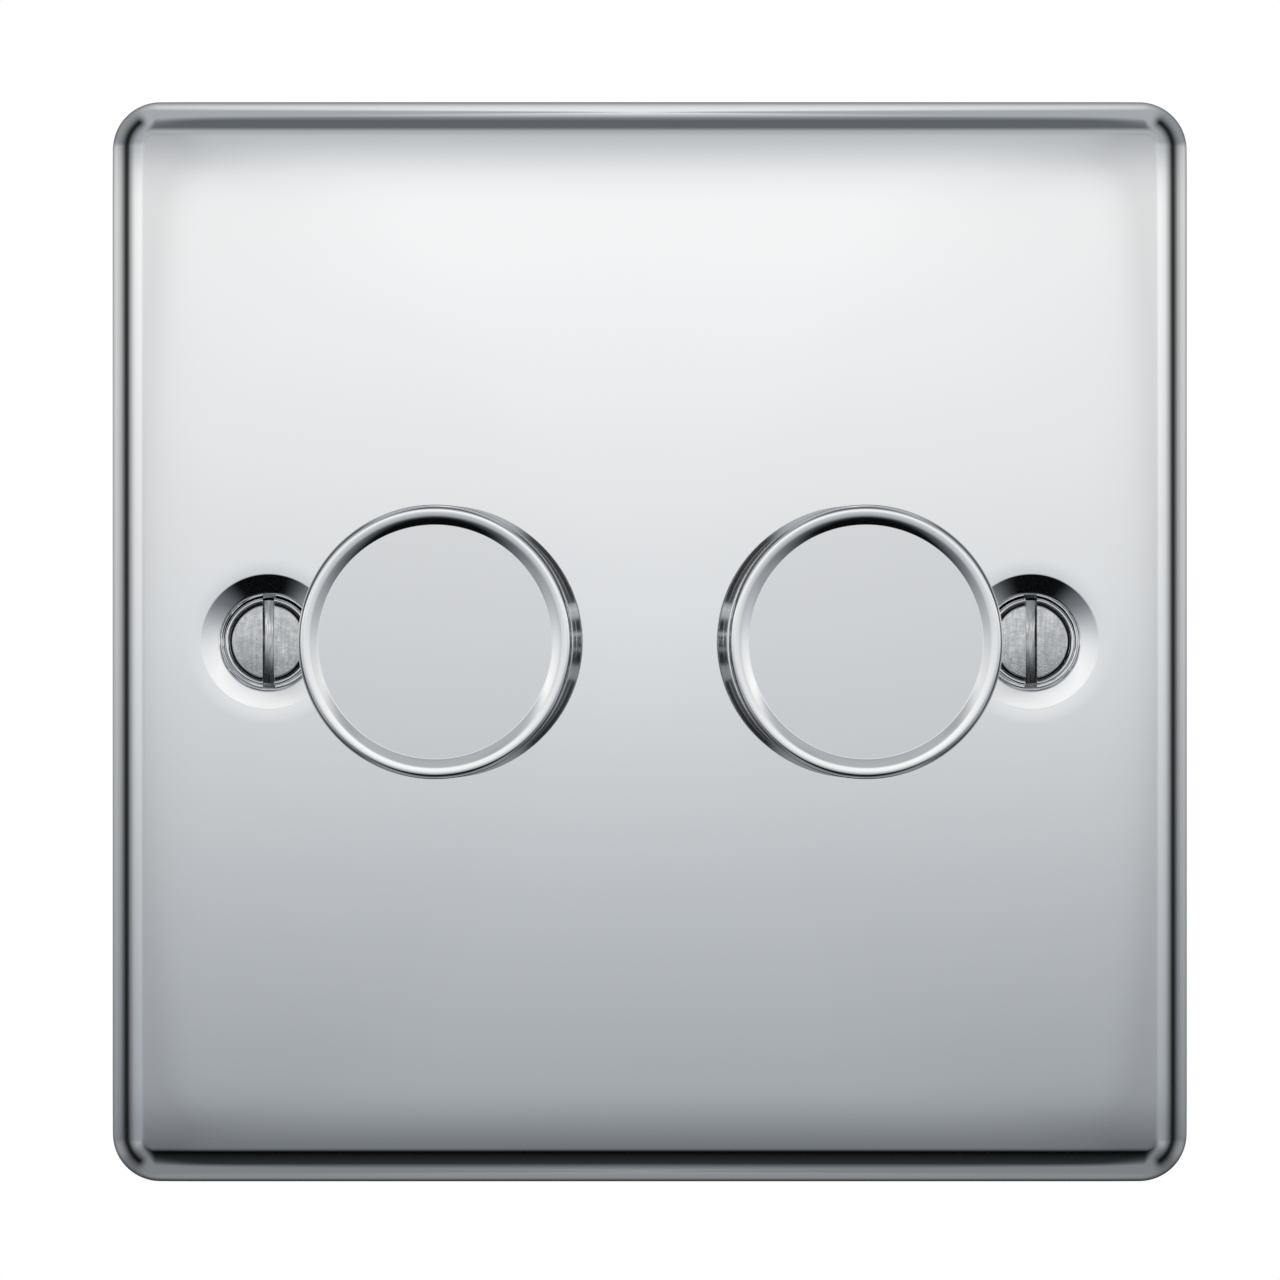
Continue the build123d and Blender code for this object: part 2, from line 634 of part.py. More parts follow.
def make_track_wafer(side, x):
    with BuildPart() as track_wafer:
        with BuildSketch(across(WAFER_BACK, x)):
            Rectangle(CONTROL_WIDTH, CONTROL_WIDTH)
            Circle(SHAFT_DIAMETER / 2 + GUARD, mode=Mode.SUBTRACT)
        extrude(amount=WAFER)
    write(track_wafer.part, f"{side}_track_wafer")


def make_track_pins(side, x):
    with BuildPart() as track_pins:
        with BuildSketch(across(BOARD_FRONT, x, -(CONTROL_WIDTH + SWITCH_WIDTH) / 4)):
            with GridLocations(TRACK_PIN_PITCH, 0, 3, 1):
                Rectangle(TRACK_PIN, TRACK_PIN)
        extrude(amount=SWITCH_DEPTH)
    write(track_pins.part, f"{side}_track_pins")


def make_switch(side, x):
    cavity = SLIDER_WIDTH + 2 * FREE
    with BuildPart() as switch_case:
        with BuildSketch(across(BOARD_FRONT, x)):
            Rectangle(SWITCH_WIDTH, SWITCH_WIDTH)
        extrude(amount=SWITCH_DEPTH)
        with BuildSketch(across(SPRING_SEAT, x)):
            Rectangle(cavity, cavity)
        extrude(amount=SPRING_SEAT - WAFER_BACK, mode=Mode.SUBTRACT)
    write(switch_case.part, f"{side}_switch_case")
    with BuildPart() as switch_slider:
        with BuildSketch(across(SLIDER_BACK, x)):
            Rectangle(SLIDER_WIDTH, SLIDER_WIDTH)
        extrude(amount=SLIDER_THICKNESS)
        with BuildSketch(across(SLIDER_BACK + PUSH_TRAVEL, x)):
            Circle(SPRING_DIAMETER / 2 - SPRING_WIRE - FREE)
        extrude(amount=PUSH_TRAVEL)
    write(switch_slider.part, f"{side}_switch_slider")


def make_return_spring(side, x):
    wire = SPRING_WIRE / 2
    coil = SPRING_DIAMETER / 2 - wire
    start = SLIDER_BACK + wire + RUNNING
    height = SPRING_SEAT - RUNNING - wire - start
    bends = SPRING_TURNS * SPRING_BENDS
    turns = [2 * pi * i / SPRING_BENDS for i in range(bends + 1)]
    route = [(x + coil * cos(a), start + height * i / bends, coil * sin(a)) for i, a in enumerate(turns)]
    with BuildPart() as return_spring:
        with BuildLine() as centre_line:
            Polyline(*route)
        with BuildSketch(Plane(origin=centre_line.line @ 0, z_dir=centre_line.line % 0)):
            RegularPolygon(wire, 6)
        sweep(transition=Transition.RIGHT)
    write(return_spring.part, f"{side}_return_spring")


def make_terminals(side, direction):
    places = terminal_places((direction,))
    with BuildPart() as terminal_blocks:
        with BuildSketch(across(TERMINAL_BACK)):
            with Locations(*[(x, TERMINAL_Z) for x in places]):
                Rectangle(TERMINAL_WIDTH, TERMINAL_HEIGHT)
        extrude(amount=TERMINAL_DEPTH)
        with BuildSketch(Plane.XY.offset(TERMINAL_BOTTOM)):
            with Locations(*[(x, WIRE_AXIS) for x in places]):
                Circle(WIRE_BORE / 2)
        extrude(amount=TERMINAL_HEIGHT, mode=Mode.SUBTRACT)
        with BuildSketch(across(TERMINAL_BACK)):
            with Locations(*[(x, TERMINAL_Z) for x in places]):
                Circle(PINCH_SCREW / 2)
        extrude(amount=TERMINAL_BACK - WIRE_AXIS, mode=Mode.SUBTRACT)
    write(terminal_blocks.part, f"{side}_terminal_blocks")
    screws = [pinch_screw(x, TERMINAL_Z, TERMINAL_BACK, WIRE_AXIS) for x in places]
    with BuildPart() as terminal_screws:
        add(screws)
    write(terminal_screws.part, f"{side}_terminal_screws")


def make_transistors(side, direction):
    body_bottom = CONTROL_HALF + 2 * LEAD
    first = TRANSISTOR_WIDTH / 2 + FREE
    lead_front = FLANGE_FRONT + TRANSISTOR_THICKNESS / 2
    places = [direction * (first + i * TRANSISTOR_PITCH) for i in range(2)]
    with BuildPart() as transistors:
        with BuildSketch(across(FLANGE_FRONT + TRANSISTOR_THICKNESS, z=body_bottom)):
            with Locations(*[(x, 0) for x in places]):
                Rectangle(TRANSISTOR_WIDTH, TRANSISTOR_BODY, align=(Align.CENTER, Align.MIN))
        extrude(amount=TRANSISTOR_THICKNESS)
        with BuildSketch(across(FLANGE_FRONT + TAB_THICKNESS, z=body_bottom)):
            with Locations(*[(x, TRANSISTOR_BODY) for x in places]):
                Rectangle(TRANSISTOR_WIDTH, TRANSISTOR_TAB, align=(Align.CENTER, Align.MIN))
        extrude(amount=TAB_THICKNESS)
        with BuildSketch(across(BOARD_FRONT, z=body_bottom)):
            for x in places:
                with Locations((x, -LEAD / 2)):
                    with GridLocations(LEAD_PITCH, 0, 3, 1):
                        Rectangle(LEAD, LEAD)
        extrude(amount=BOARD_FRONT - lead_front)
    write(transistors.part, f"{side}_transistors")


def make_choke(side, direction):
    x = direction * TERMINAL_MIDDLE
    z = -CONTROL_HALF - FREE - CHOKE_DIAMETER / 2
    with BuildPart() as choke:
        with BuildSketch(across(BOARD_FRONT, x, z)):
            RegularPolygon(CHOKE_DIAMETER / 2, CHOKE_TURNS)
            RegularPolygon(CHOKE_HOLE / 2, CHOKE_TURNS, mode=Mode.SUBTRACT)
        extrude(amount=CHOKE_HEIGHT)
    write(choke.part, f"{side}_choke")


def make_board_pieces(side, direction):
    x = direction * TERMINAL_MIDDLE
    with BuildPart() as film_capacitor:
        with BuildSketch(across(BOARD_BACK + FILM_DEPTH, x, -FILM_DROP)):
            Rectangle(FILM_WIDTH, FILM_HEIGHT)
        extrude(amount=FILM_DEPTH)
    write(film_capacitor.part, f"{side}_film_capacitor")
    with BuildPart() as smoothing_capacitor:
        with BuildSketch(Plane(origin=(x, BOARD_BACK + CAN_DIAMETER / 2, CAN_RISE), z_dir=(1, 0, 0))):
            Circle(CAN_DIAMETER / 2)
        extrude(amount=CAN_LENGTH / 2, both=True)
    write(smoothing_capacitor.part, f"{side}_smoothing_capacitor")
    with BuildPart() as control_chip:
        with BuildSketch(across(BOARD_BACK + CHIP_DEPTH, x, CHIP_RISE)):
            Rectangle(CHIP_WIDTH, CHIP_HEIGHT)
        extrude(amount=CHIP_DEPTH)
    write(control_chip.part, f"{side}_control_chip")


os.makedirs("parts", exist_ok=True)
make_face_plate()
make_back_liner()
make_earth_terminal()
make_housing()
make_rear_cover()
make_heat_sink()
make_circuit_board()
for side, direction in SIDES.items():
    spindle = direction * SPINDLE_X
    make_fixing_screw(side, direction * FIXING_X)
    make_knob(side, spindle)
    make_knob_clip(side, spindle)
    make_shaft(side, spindle)
    make_circlip(side, spindle)
    make_bush(side, spindle)
    make_washer_and_nut(side, spindle)
    make_control_case(side, spindle)
    make_rotor(side, spindle)
    make_wiper(side, spindle)
    make_track_wafer(side, spindle)
    make_track_pins(side, spindle)
    make_switch(side, spindle)
    make_return_spring(side, spindle)
    make_terminals(side, direction)
    make_transistors(side, direction)
    make_choke(side, direction)
    make_board_pieces(side, direction)
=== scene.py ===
import json
from math import atan, cos, degrees, pi, radians, sin, tan

import bmesh
import bpy
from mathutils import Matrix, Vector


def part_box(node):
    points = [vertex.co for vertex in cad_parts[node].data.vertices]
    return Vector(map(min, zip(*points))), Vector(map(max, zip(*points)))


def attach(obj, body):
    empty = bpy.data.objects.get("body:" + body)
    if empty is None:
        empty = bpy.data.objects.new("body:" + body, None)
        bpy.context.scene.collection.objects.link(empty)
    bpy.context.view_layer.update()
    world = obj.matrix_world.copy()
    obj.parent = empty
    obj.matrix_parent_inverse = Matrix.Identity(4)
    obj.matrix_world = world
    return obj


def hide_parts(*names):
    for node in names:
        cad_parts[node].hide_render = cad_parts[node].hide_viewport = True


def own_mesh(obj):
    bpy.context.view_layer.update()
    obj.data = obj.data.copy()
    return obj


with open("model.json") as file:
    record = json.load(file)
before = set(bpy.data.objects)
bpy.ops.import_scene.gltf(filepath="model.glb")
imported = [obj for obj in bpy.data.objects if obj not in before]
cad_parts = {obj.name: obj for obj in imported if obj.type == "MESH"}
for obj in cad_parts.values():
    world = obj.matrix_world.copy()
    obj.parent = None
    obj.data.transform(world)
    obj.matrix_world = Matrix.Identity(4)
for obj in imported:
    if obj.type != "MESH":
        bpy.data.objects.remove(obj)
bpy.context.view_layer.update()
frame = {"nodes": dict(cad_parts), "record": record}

bl_info = {
    "name": "Double dimmer switch",
    "version": (1, 0, 0),
    "blender": (4, 5, 0),
    "location": "3D View > Sidebar > Dimmer",
    "description": "Models the visible pieces of a chrome double dimmer switch and the light it is shown in",
    "category": "Object",
}

MM = 0.001
# Places closer than the first length count as the same, and points closer than the second are welded
TINY = 0.001 * MM
WELD = 0.002 * MM
# From a corner to the extra ring that keeps the flat beside it flat
SUPPORT = 0.03 * MM
# How far a bar or post reaches into the wall and into the floor that it is joined to
LAP = 0.2 * MM
SINK = 0.3 * MM
SIDES = {"left": -1, "right": 1}
PLATE_LOW, PLATE_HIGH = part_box("face_plate")
KNOB_LOW, KNOB_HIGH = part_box("left_knob")
SCREW_LOW, SCREW_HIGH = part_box("left_fixing_screw")
HOUSING_LOW, HOUSING_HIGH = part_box("dimmer_housing")
COVER_LOW, COVER_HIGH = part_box("rear_cover")
LINER_LOW, LINER_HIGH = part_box("back_liner")
SLOT_COLOURS = {m["slot"]: m["base_color"] for m in frame["record"]["materials"]}


def length(name, description, default):
    """A size in metres that a user may change."""
    return bpy.props.FloatProperty(
        name=name, description=description, default=default, precision=5, unit="LENGTH"
    )


def angle(name, description, default):
    """An angle, given here in degrees."""
    return bpy.props.FloatProperty(
        name=name, description=description, default=radians(default), unit="ROTATION"
    )


def colour(name, description, default):
    """A linear colour that a user may change."""
    return bpy.props.FloatVectorProperty(
        name=name, description=description, default=default[:3], size=3, min=0.0, max=1.0, subtype="COLOR"
    )


class PlateSizes(bpy.types.PropertyGroup):
    """Sizes of the pressed face plate."""

    width: length("Width", "Across the plate", PLATE_HIGH.x - PLATE_LOW.x)
    height: length("Height", "Up the plate", PLATE_HIGH.z - PLATE_LOW.z)
    depth: length("Depth", "How far the face stands off the wall", -PLATE_LOW.y)
    sheet: length("Sheet", "Thickness of the pressed sheet", 1.0 * MM)
    corner: length("Corner radius", "Radius of the outline's corners", 3.85 * MM)
    bend: length("Bend radius", "Radius of the rolled rim", 3.1 * MM)
    pillow: length("Pillow radius", "Radius of the slow curve between rim and face", 100.0 * MM)
    pillow_run: length("Pillow run", "How far from the plate's edge the slow curve starts", 7.5 * MM)
    hem: length("Hem", "Width of the narrow flat strip that holds the shading next to a curve", 0.1 * MM)
    bush_hole: length("Bush hole", "Radius of the holes for the control bushes", 5.1 * MM)
    dish_start: length("Dish start", "Radius where the face begins to fall towards a screw dish", 6.6 * MM)
    dish: length("Dish radius", "Radius of a screw dish's lip", 5.35 * MM)
    dish_tip: angle("Dish tip", "How far the foot of a screw dish leans back at the top", 1.25)
    dish_foot: length("Dish foot", "Radius where the dish turns down to the screw's seat", 3.82 * MM)
    dish_hole: length("Screw hole", "Radius of the hole in a screw dish", 2.05 * MM)


class KnobSizes(bpy.types.PropertyGroup):
    """Sizes of the knobs."""

    spindle: length("Left spindle", "X of the left spindle", (KNOB_LOW.x + KNOB_HIGH.x) / 2)
    front: length("Front", "Y of the rim's crest", KNOB_LOW.y)
    base: length("Base", "Y of the skirt's back edge", KNOB_HIGH.y)
    radius: length("Front radius", "Radius of the knob at its front", 10.2 * MM)
    base_radius: length("Base radius", "Radius of the knob at its back", (KNOB_HIGH.x - KNOB_LOW.x) / 2)
    face: length("Face radius", "Radius of the flat face inside the rim", 8.7 * MM)
    rim_slope: angle("Rim slope", "Slope of the rim's inner side next to the face", 15.0)
    knee: length("Knee radius", "Radius where the rim's inner side begins to level off", 9.25 * MM)
    crest: length("Crest radius", "Radius of the rim's crest", 9.72 * MM)
    edge: length("Edge radius", "Radius where the rim turns down to the skirt", 9.84 * MM)
    wall: length("Skirt wall", "Radius of the skirt's inside", 8.9 * MM)
    ceiling: length("Ceiling", "Y of the inside of the knob's front", -17.4 * MM)
    boss: length("Boss radius", "Radius of the boss that holds the shaft", 4.6 * MM)
    boss_end: length("Boss end", "Y of the boss's back end", -10.7 * MM)
    bore: length("Bore radius", "Radius of the hole for the shaft", 3.05 * MM)
    flare: length("Skirt flare", "How much wider the skirt is above its foot than at the front", 0.1 * MM)
    foot: length("Foot height", "Height of the flared foot", 0.46 * MM)
    foot_edge: length("Foot edge", "Height of the foot's upright edge", 0.2 * MM)


class ScrewSizes(bpy.types.PropertyGroup):
    """Sizes of the wall fixing screws."""

    spacing: length("Spacing", "Distance of each screw from the middle", 30.15 * MM)
    front: length("Head front", "Y of the head's flat", SCREW_LOW.y)
    end: length("End", "Y of the screw's tip", SCREW_HIGH.y)
    head: length("Head radius", "Radius of the head's rim", (SCREW_HIGH.x - SCREW_LOW.x) / 2)
    head_height: length("Head height", "From the head's front to the back of its rim", 0.49 * MM)
    flat: length("Crown radius", "Radius of the slightly crowned middle of the head", 2.85 * MM)
    crown: length("Crown", "Radius of the crown's curve", 33.0 * MM)
    groove_depth: length("Groove depth", "Depth of the ring groove round the crown", 0.34 * MM)
    rim: length("Rim start", "Radius where the rim rises from the groove", 3.1 * MM)
    rim_drop: length("Rim drop", "How far the rim's crest lies behind the head's front", 0.16 * MM)
    slot: length("Slot", "Width of the driver slot", 0.9 * MM)
    slot_depth: length("Slot depth", "Depth of the driver slot", 0.7 * MM)
    neck: length("Neck radius", "Radius of the plain neck", 1.55 * MM)
    root: length("Thread root", "Radius of the thread's root", 1.42 * MM)
    crest: length("Thread crest", "Radius of the thread's crest", 1.75 * MM)
    pitch: length("Thread pitch", "Advance of the thread in one turn", 0.6 * MM)


class LinerSizes(bpy.types.PropertyGroup):
    """Sizes of the insulating liner."""

    corner: length("Corner radius", "Radius of the tray's corners", 2.75 * MM)
    back: length("Back", "Y of the tray's back edge", -0.3 * MM)
    floor: length("Floor", "Thickness of the tray's floor", 1.3 * MM)
    wall: length("Wall", "Thickness of the tray's wall", 1.6 * MM)
    chamfer: length("Chamfer", "Chamfer that clears the bend of the plate", 2.6 * MM)
    fence: length("Fence", "Thickness of the fence round the housing", 1.2 * MM)
    fence_gap: length("Fence gap", "Clear space between fence and housing", 0.2 * MM)
    fence_height: length("Fence height", "How far the fence stands off the floor", 1.6 * MM)
    rib: length("Rib", "Thickness of a stiffening rib", 1.0 * MM)
    rib_height: length("Rib height", "How far a rib stands off the floor", 1.0 * MM)
    rib_spacing: length("Rib spacing", "Distance from one rib to the next", 18.0 * MM)
    screw_hole: length("Screw hole", "Radius of the hole round a screw dish", 5.7 * MM)
    bush_hole: length("Bush hole", "Radius of the hole for a control bush", 5.1 * MM)
    soft_edge: length("Soft edge", "Rounding of the moulded edges", 0.18 * MM)


class HousingSizes(bpy.types.PropertyGroup):
    """Sizes of the housing."""

    corner: length("Corner radius", "Radius of the housing's corners", 1.5 * MM)
    wall: length("Wall", "Thickness of the housing's walls", 1.5 * MM)
    floor: length("Floor", "Thickness of the housing's front", 1.6 * MM)
    post: length("Post", "Width of the corner posts that carry the circuit board", 2.6 * MM)
    bush_hole: length("Bush hole", "Radius of the hole for a control bush", 5.1 * MM)
    notch: length("Wire notch", "Width of a wire notch", 6.2 * MM)
    notch_depth: length("Notch depth", "How far a wire notch reaches in from the back edge", 8.0 * MM)
    hook_spacing: length("Hook spacing", "Distance of each hook window from the middle", 13.0 * MM)
    hook_window: length("Hook window", "Length of a hook window", 5.4 * MM)
    hook_height: length("Hook window height", "Height of a hook window", 1.6 * MM)
    groove: length("Groove", "Width of a grip groove", 1.8 * MM)
    groove_pitch: length("Groove pitch", "Distance from one grip groove to the next", 5.2 * MM)
    groove_depth: length("Groove depth", "Depth of a grip groove", 0.35 * MM)
    soft_edge: length("Soft edge", "Rounding of the moulded edges", 0.22 * MM)


class CoverSizes(bpy.types.PropertyGroup):
    """Sizes of the rear cover."""

    sheet: length("Thickness", "Thickness of the cover", 2.0 * MM)
    corner: length("Corner radius", "Radius of the cover's corners", 1.5 * MM)
    driver_hole: length("Driver hole", "Radius of the hole over a clamp screw", 2.9 * MM)
    vent: length("Vent", "Width of a vent", 1.8 * MM)
    vent_length: length("Vent length", "Length of a vent", 12.0 * MM)
    vent_pitch: length("Vent pitch", "Distance from one vent to the next", 5.2 * MM)
    vent_height: length("Vent height", "Z of the middle of the vents", 12.0 * MM)
    panel_margin: length("Panel margin", "From the cover's side to the sunk panel", 3.0 * MM)
    panel_depth: length("Panel depth", "Depth of the sunk panel", 0.35 * MM)
    panel_low: length("Panel bottom", "Z of the sunk panel's lower side", -5.2 * MM)
    panel_high: length("Panel top", "Z of the sunk panel's upper side", 1.6 * MM)
    hook: length("Hook", "Length of a snap hook", 5.0 * MM)
    hook_arm: length("Hook arm", "Thickness of a snap hook's arm", 1.2 * MM)
    hook_inset: length("Hook inset", "From the cover's side to the hook's arm", 1.6 * MM)
    hook_spacing: length("Hook spacing", "Distance of each hook from the middle", 13.0 * MM)
    barb: length("Barb", "How far a hook's barb stands out", 0.8 * MM)
    soft_edge: length("Soft edge", "Rounding of the moulded edges", 0.3 * MM)


class TerminalSizes(bpy.types.PropertyGroup):
    """Sizes of the terminals and their clamp screws."""

    pitch: length("Pitch", "Distance from one terminal to the next", 7.6 * MM)
    width: length("Width", "Width of a terminal block", 5.6 * MM)
    wire_bore: length("Wire bore", "Radius of the bore for a wire", 1.75 * MM)
    wire_height: length("Wire height", "From the block's front to the bore's axis", 2.6 * MM)
    earth_wire_depth: length("Earth wire depth", "From the earth block's back to its bore's axis", 4.4 * MM)
    thread_hole: length("Thread hole", "Radius of the hole for a clamp screw", 1.5 * MM)
    head: length("Head radius", "Radius of a clamp screw's head", 2.6 * MM)
    head_height: length("Head height", "Height of a clamp screw's head", 2.0 * MM)
    shank: length("Shank radius", "Radius of a clamp screw's shank", 1.45 * MM)
    slot: length("Slot", "Width of a clamp screw's slot", 0.9 * MM)
    slot_depth: length("Slot depth", "Depth of a clamp screw's slot", 0.7 * MM)
    soft_edge: length("Soft edge", "Rounding of a block's edges", 0.22 * MM)


class SpringSizes(bpy.types.PropertyGroup):
    """Sizes of the return springs inside the push switches."""

    wire: length("Wire", "Thickness of the spring's wire", 0.4 * MM)
    turns: bpy.props.IntProperty(name="Turns", description="Number of turns of the wire", default=3, min=1)


class Colours(bpy.types.PropertyGroup):
    """Colours of the finishes that show."""

    chrome: colour("Chrome", "Polished chrome of the plate", (0.93, 0.935, 0.94))
    knob: colour("Knob chrome", "Polished chrome of the knobs", (0.97, 0.975, 0.98))
    screw: colour("Screw", "Plated steel of the fixing screws", (0.90, 0.91, 0.92))
    housing: colour("Housing", "Moulded housing", SLOT_COLOURS["housing_plastic"])
    cover: colour("Cover", "Moulded rear cover", SLOT_COLOURS["cover_plastic"])
    liner: colour("Liner", "Moulded insulating liner", SLOT_COLOURS["liner_plastic"])
    brass: colour("Brass", "Terminal brass", SLOT_COLOURS["terminal_brass"])
    zinc: colour("Zinc", "Zinc plated steel", SLOT_COLOURS["zinc_steel"])
    spring: colour("Spring", "Spring steel wire", SLOT_COLOURS["spring_steel"])


class StageSettings(bpy.types.PropertyGroup):
    """Camera, floor and light."""

    distance: length("Camera distance", "From the camera to the wall plane", 0.2335)
    camera_x: length("Camera X", "Sideways place of the camera", -0.78 * MM)
    camera_z: length("Camera Z", "Height of the camera", 0.14 * MM)
    view: angle("View angle", "The camera's angle of view", 24.95)
    floor_drop: length("Floor drop", "How far the floor lies under the middle of the plate", 0.11)
    floor: colour("Floor", "Colour of the floor", (0.93, 0.93, 0.93))
    fill: bpy.props.FloatProperty(
        name="Fill light", description="Brightness of the soft light from all round", default=0.78, min=0.0
    )


# Modelling


def clear_selection():
    if bpy.context.object and bpy.context.object.mode != "OBJECT":
        bpy.ops.object.mode_set(mode="OBJECT")
    bpy.ops.object.select_all(action="DESELECT")


def activate(piece):
    clear_selection()
    piece.select_set(True)
    bpy.context.view_layer.objects.active = piece


def open_new(name, empty=False):
    """Opens a new mesh for editing: a plane at the origin with all of it selected, or nothing at all."""
    clear_selection()
    bpy.ops.mesh.primitive_plane_add(size=1.0)
    piece = bpy.context.object
    piece.name = name
    piece.data.name = name
    bpy.ops.object.mode_set(mode="EDIT")
    bpy.ops.mesh.select_mode(type="VERT")
    bpy.ops.mesh.select_all(action="SELECT")
    if empty:
        bpy.ops.mesh.delete(type="VERT")
    return piece


def pick(piece, kind, test):
    """Selects what passes the test in the open mesh, and nothing else."""
    bpy.ops.mesh.select_mode(type=kind)
    bpy.ops.mesh.select_all(action="DESELECT")
    mesh = bmesh.from_edit_mesh(piece.data)
    found = [e for e in {"VERT": mesh.verts, "EDGE": mesh.edges, "FACE": mesh.faces}[kind] if test(e)]
    if not found:
        raise RuntimeError(f"{piece.name}: nothing there to select")
    for element in found:
        element.select_set(True)
    mesh.select_flush_mode()
    bmesh.update_edit_mesh(piece.data)


def extrude_faces(step):
    bpy.ops.mesh.extrude_region_move(TRANSFORM_OT_translate={"value": step})


def weld_and_face_out():
    bpy.ops.mesh.select_all(action="SELECT")
    bpy.ops.mesh.remove_doubles(threshold=WELD)
    bpy.ops.mesh.normals_make_consistent(inside=False)


def close_edit(piece):
    if not piece.data.polygons and not bmesh.from_edit_mesh(piece.data).faces:
        raise RuntimeError(f"{piece.name}: the mesh has no faces")
    bpy.ops.object.mode_set(mode="OBJECT")


def modify(piece, kind, **settings):
    """Adds one modifier and applies it."""
    activate(piece)
    bpy.ops.object.modifier_add(type=kind)
    modifier = piece.modifiers[-1]
    for key, value in settings.items():
        setattr(modifier, key, value)
    bpy.ops.object.modifier_apply(modifier=modifier.name)


def soften_edges(piece, width, segments=2):
    """Bevels all edges that turn by more than 40 degrees."""
    modify(
        piece,
        "BEVEL",
        width=width,
        segments=segments,
        limit_method="ANGLE",
        angle_limit=radians(40.0),
        use_clamp_overlap=True,
    )


def smooth(piece, limit=30.0):
    activate(piece)
    bpy.ops.object.shade_smooth_by_angle(angle=radians(limit))


def combine(piece, shapes, operation="DIFFERENCE"):
    """Cuts the given primitives out of a piece, or adds them to it."""
    tool = open_new(f"{piece.name}_tool", empty=True)
    for add, options in shapes:
        add(**options)
    bpy.ops.object.mode_set(mode="OBJECT")
    before = len(piece.data.vertices)
    modify(piece, "BOOLEAN", operation=operation, solver="EXACT", use_self=True, object=tool)
    bpy.data.objects.remove(tool, do_unlink=True)
    if len(piece.data.vertices) == before:
        raise RuntimeError(f"{piece.name}: the tools changed nothing")


def drill(radius, start, end, axis="Y", vertices=64):
    """A round cutter from one point to another along Y or Z."""
    middle = [(a + b) / 2 for a, b in zip(start, end)]
    depth = max(abs(b - a) for a, b in zip(start, end))
    turn = (pi / 2, 0.0, 0.0) if axis == "Y" else (0.0, 0.0, 0.0)
    options = {"vertices": vertices, "radius": radius, "depth": depth, "location": middle, "rotation": turn}
    return bpy.ops.mesh.primitive_cylinder_add, options


def block(low, high):
    """A box cutter or block between two corners."""
    middle = [(a + b) / 2 for a, b in zip(low, high)]
    size = [b - a for a, b in zip(low, high)]
    return bpy.ops.mesh.primitive_cube_add, {"size": 1.0, "location": middle, "scale": size}


def join(name, pieces):
    """Makes one object of several."""
    activate(pieces[0])
    for piece in pieces[1:]:
        piece.select_set(True)
    bpy.ops.object.join()
    pieces[0].name = name
    pieces[0].data.name = name
    return pieces[0]


def copy_at(piece, name, step):
    """A copy with its own mesh, moved by step."""
    activate(piece)
    bpy.ops.object.duplicate(linked=False)
    twin = bpy.context.object
    twin.name = name
    twin.data.name = name
    bpy.ops.object.mode_set(mode="EDIT")
    bpy.ops.mesh.select_all(action="SELECT")
    bpy.ops.transform.translate(value=step)
    bpy.ops.object.mode_set(mode="OBJECT")
    return twin


def arc(centre, radius, start, end, steps):
    """Points on an arc. Angles are in degrees from the radial direction towards the room."""
    angles = [radians(start + (end - start) * i / steps) for i in range(steps + 1)]
    return [(centre[0] + radius * cos(a), centre[1] - radius * sin(a)) for a in angles]


def sloped(knots, y, step):
    """Points of a surface that falls from y, with its slope in degrees given at some radii."""
    points = [(knots[0][0], y)]
    for (r0, a0), (r1, a1) in zip(knots, knots[1:]):
        count = max(2, round(abs(r1 - r0) / step))
        for i in range(count):
            middle = a0 + (a1 - a0) * (i + 0.5) / count
            y += abs(r1 - r0) / count * tan(radians(middle))
            points.append((r0 + (r1 - r0) * (i + 1) / count, y))
    return points


def with_supports(profile):
    """Adds points near both ends of each long straight run, so that flats stay flat when shaded smooth."""
    points = [profile[0]]
    for (r0, y0), (r1, y1) in zip(profile, profile[1:]):
        run = ((r1 - r0) ** 2 + (y1 - y0) ** 2) ** 0.5
        if run > 6 * SUPPORT:
            share = SUPPORT / run
            points.append((r0 + (r1 - r0) * share, y0 + (y1 - y0) * share))
            points.append((r1 - (r1 - r0) * share, y1 - (y1 - y0) * share))
        points.append((r1, y1))
    return points


def draw_line(x, z, points):
    """Draws a line of (radius, y) points in a new open mesh and selects it."""
    bpy.ops.mesh.merge(type="CENTER")
    bpy.ops.transform.translate(value=(x + points[0][0], points[0][1], z))
    for (r0, y0), (r1, y1) in zip(points, points[1:]):
        bpy.ops.mesh.extrude_vertices_move(TRANSFORM_OT_translate={"value": (r1 - r0, y1 - y0, 0.0)})
    bpy.ops.mesh.select_all(action="SELECT")


def lathe(name, x, z, profile, steps):
    """Turns a line of (radius, y) points about an axis along Y."""
    piece = open_new(name)
    draw_line(x, z, with_supports(profile))
    bpy.ops.mesh.spin(steps=steps, angle=2 * pi, center=(x, 0.0, z), axis=(0.0, 1.0, 0.0))
    weld_and_face_out()
    close_edit(piece)
    return piece


def wind(piece, pitch, turns, steps):
    """Winds the outline in a mesh round the Y axis and closes its ends. The mesh stays open and selected."""
    bpy.ops.object.mode_set(mode="OBJECT")
    modify(
        piece,
        "SCREW",
        axis="Y",
        angle=2 * pi,
        screw_offset=pitch,
        iterations=turns,
        steps=steps,
        render_steps=steps,
    )
    bpy.ops.object.mode_set(mode="EDIT")
    pick(piece, "EDGE", lambda e: len(e.link_faces) == 1)
    bpy.ops.mesh.fill()
    weld_and_face_out()


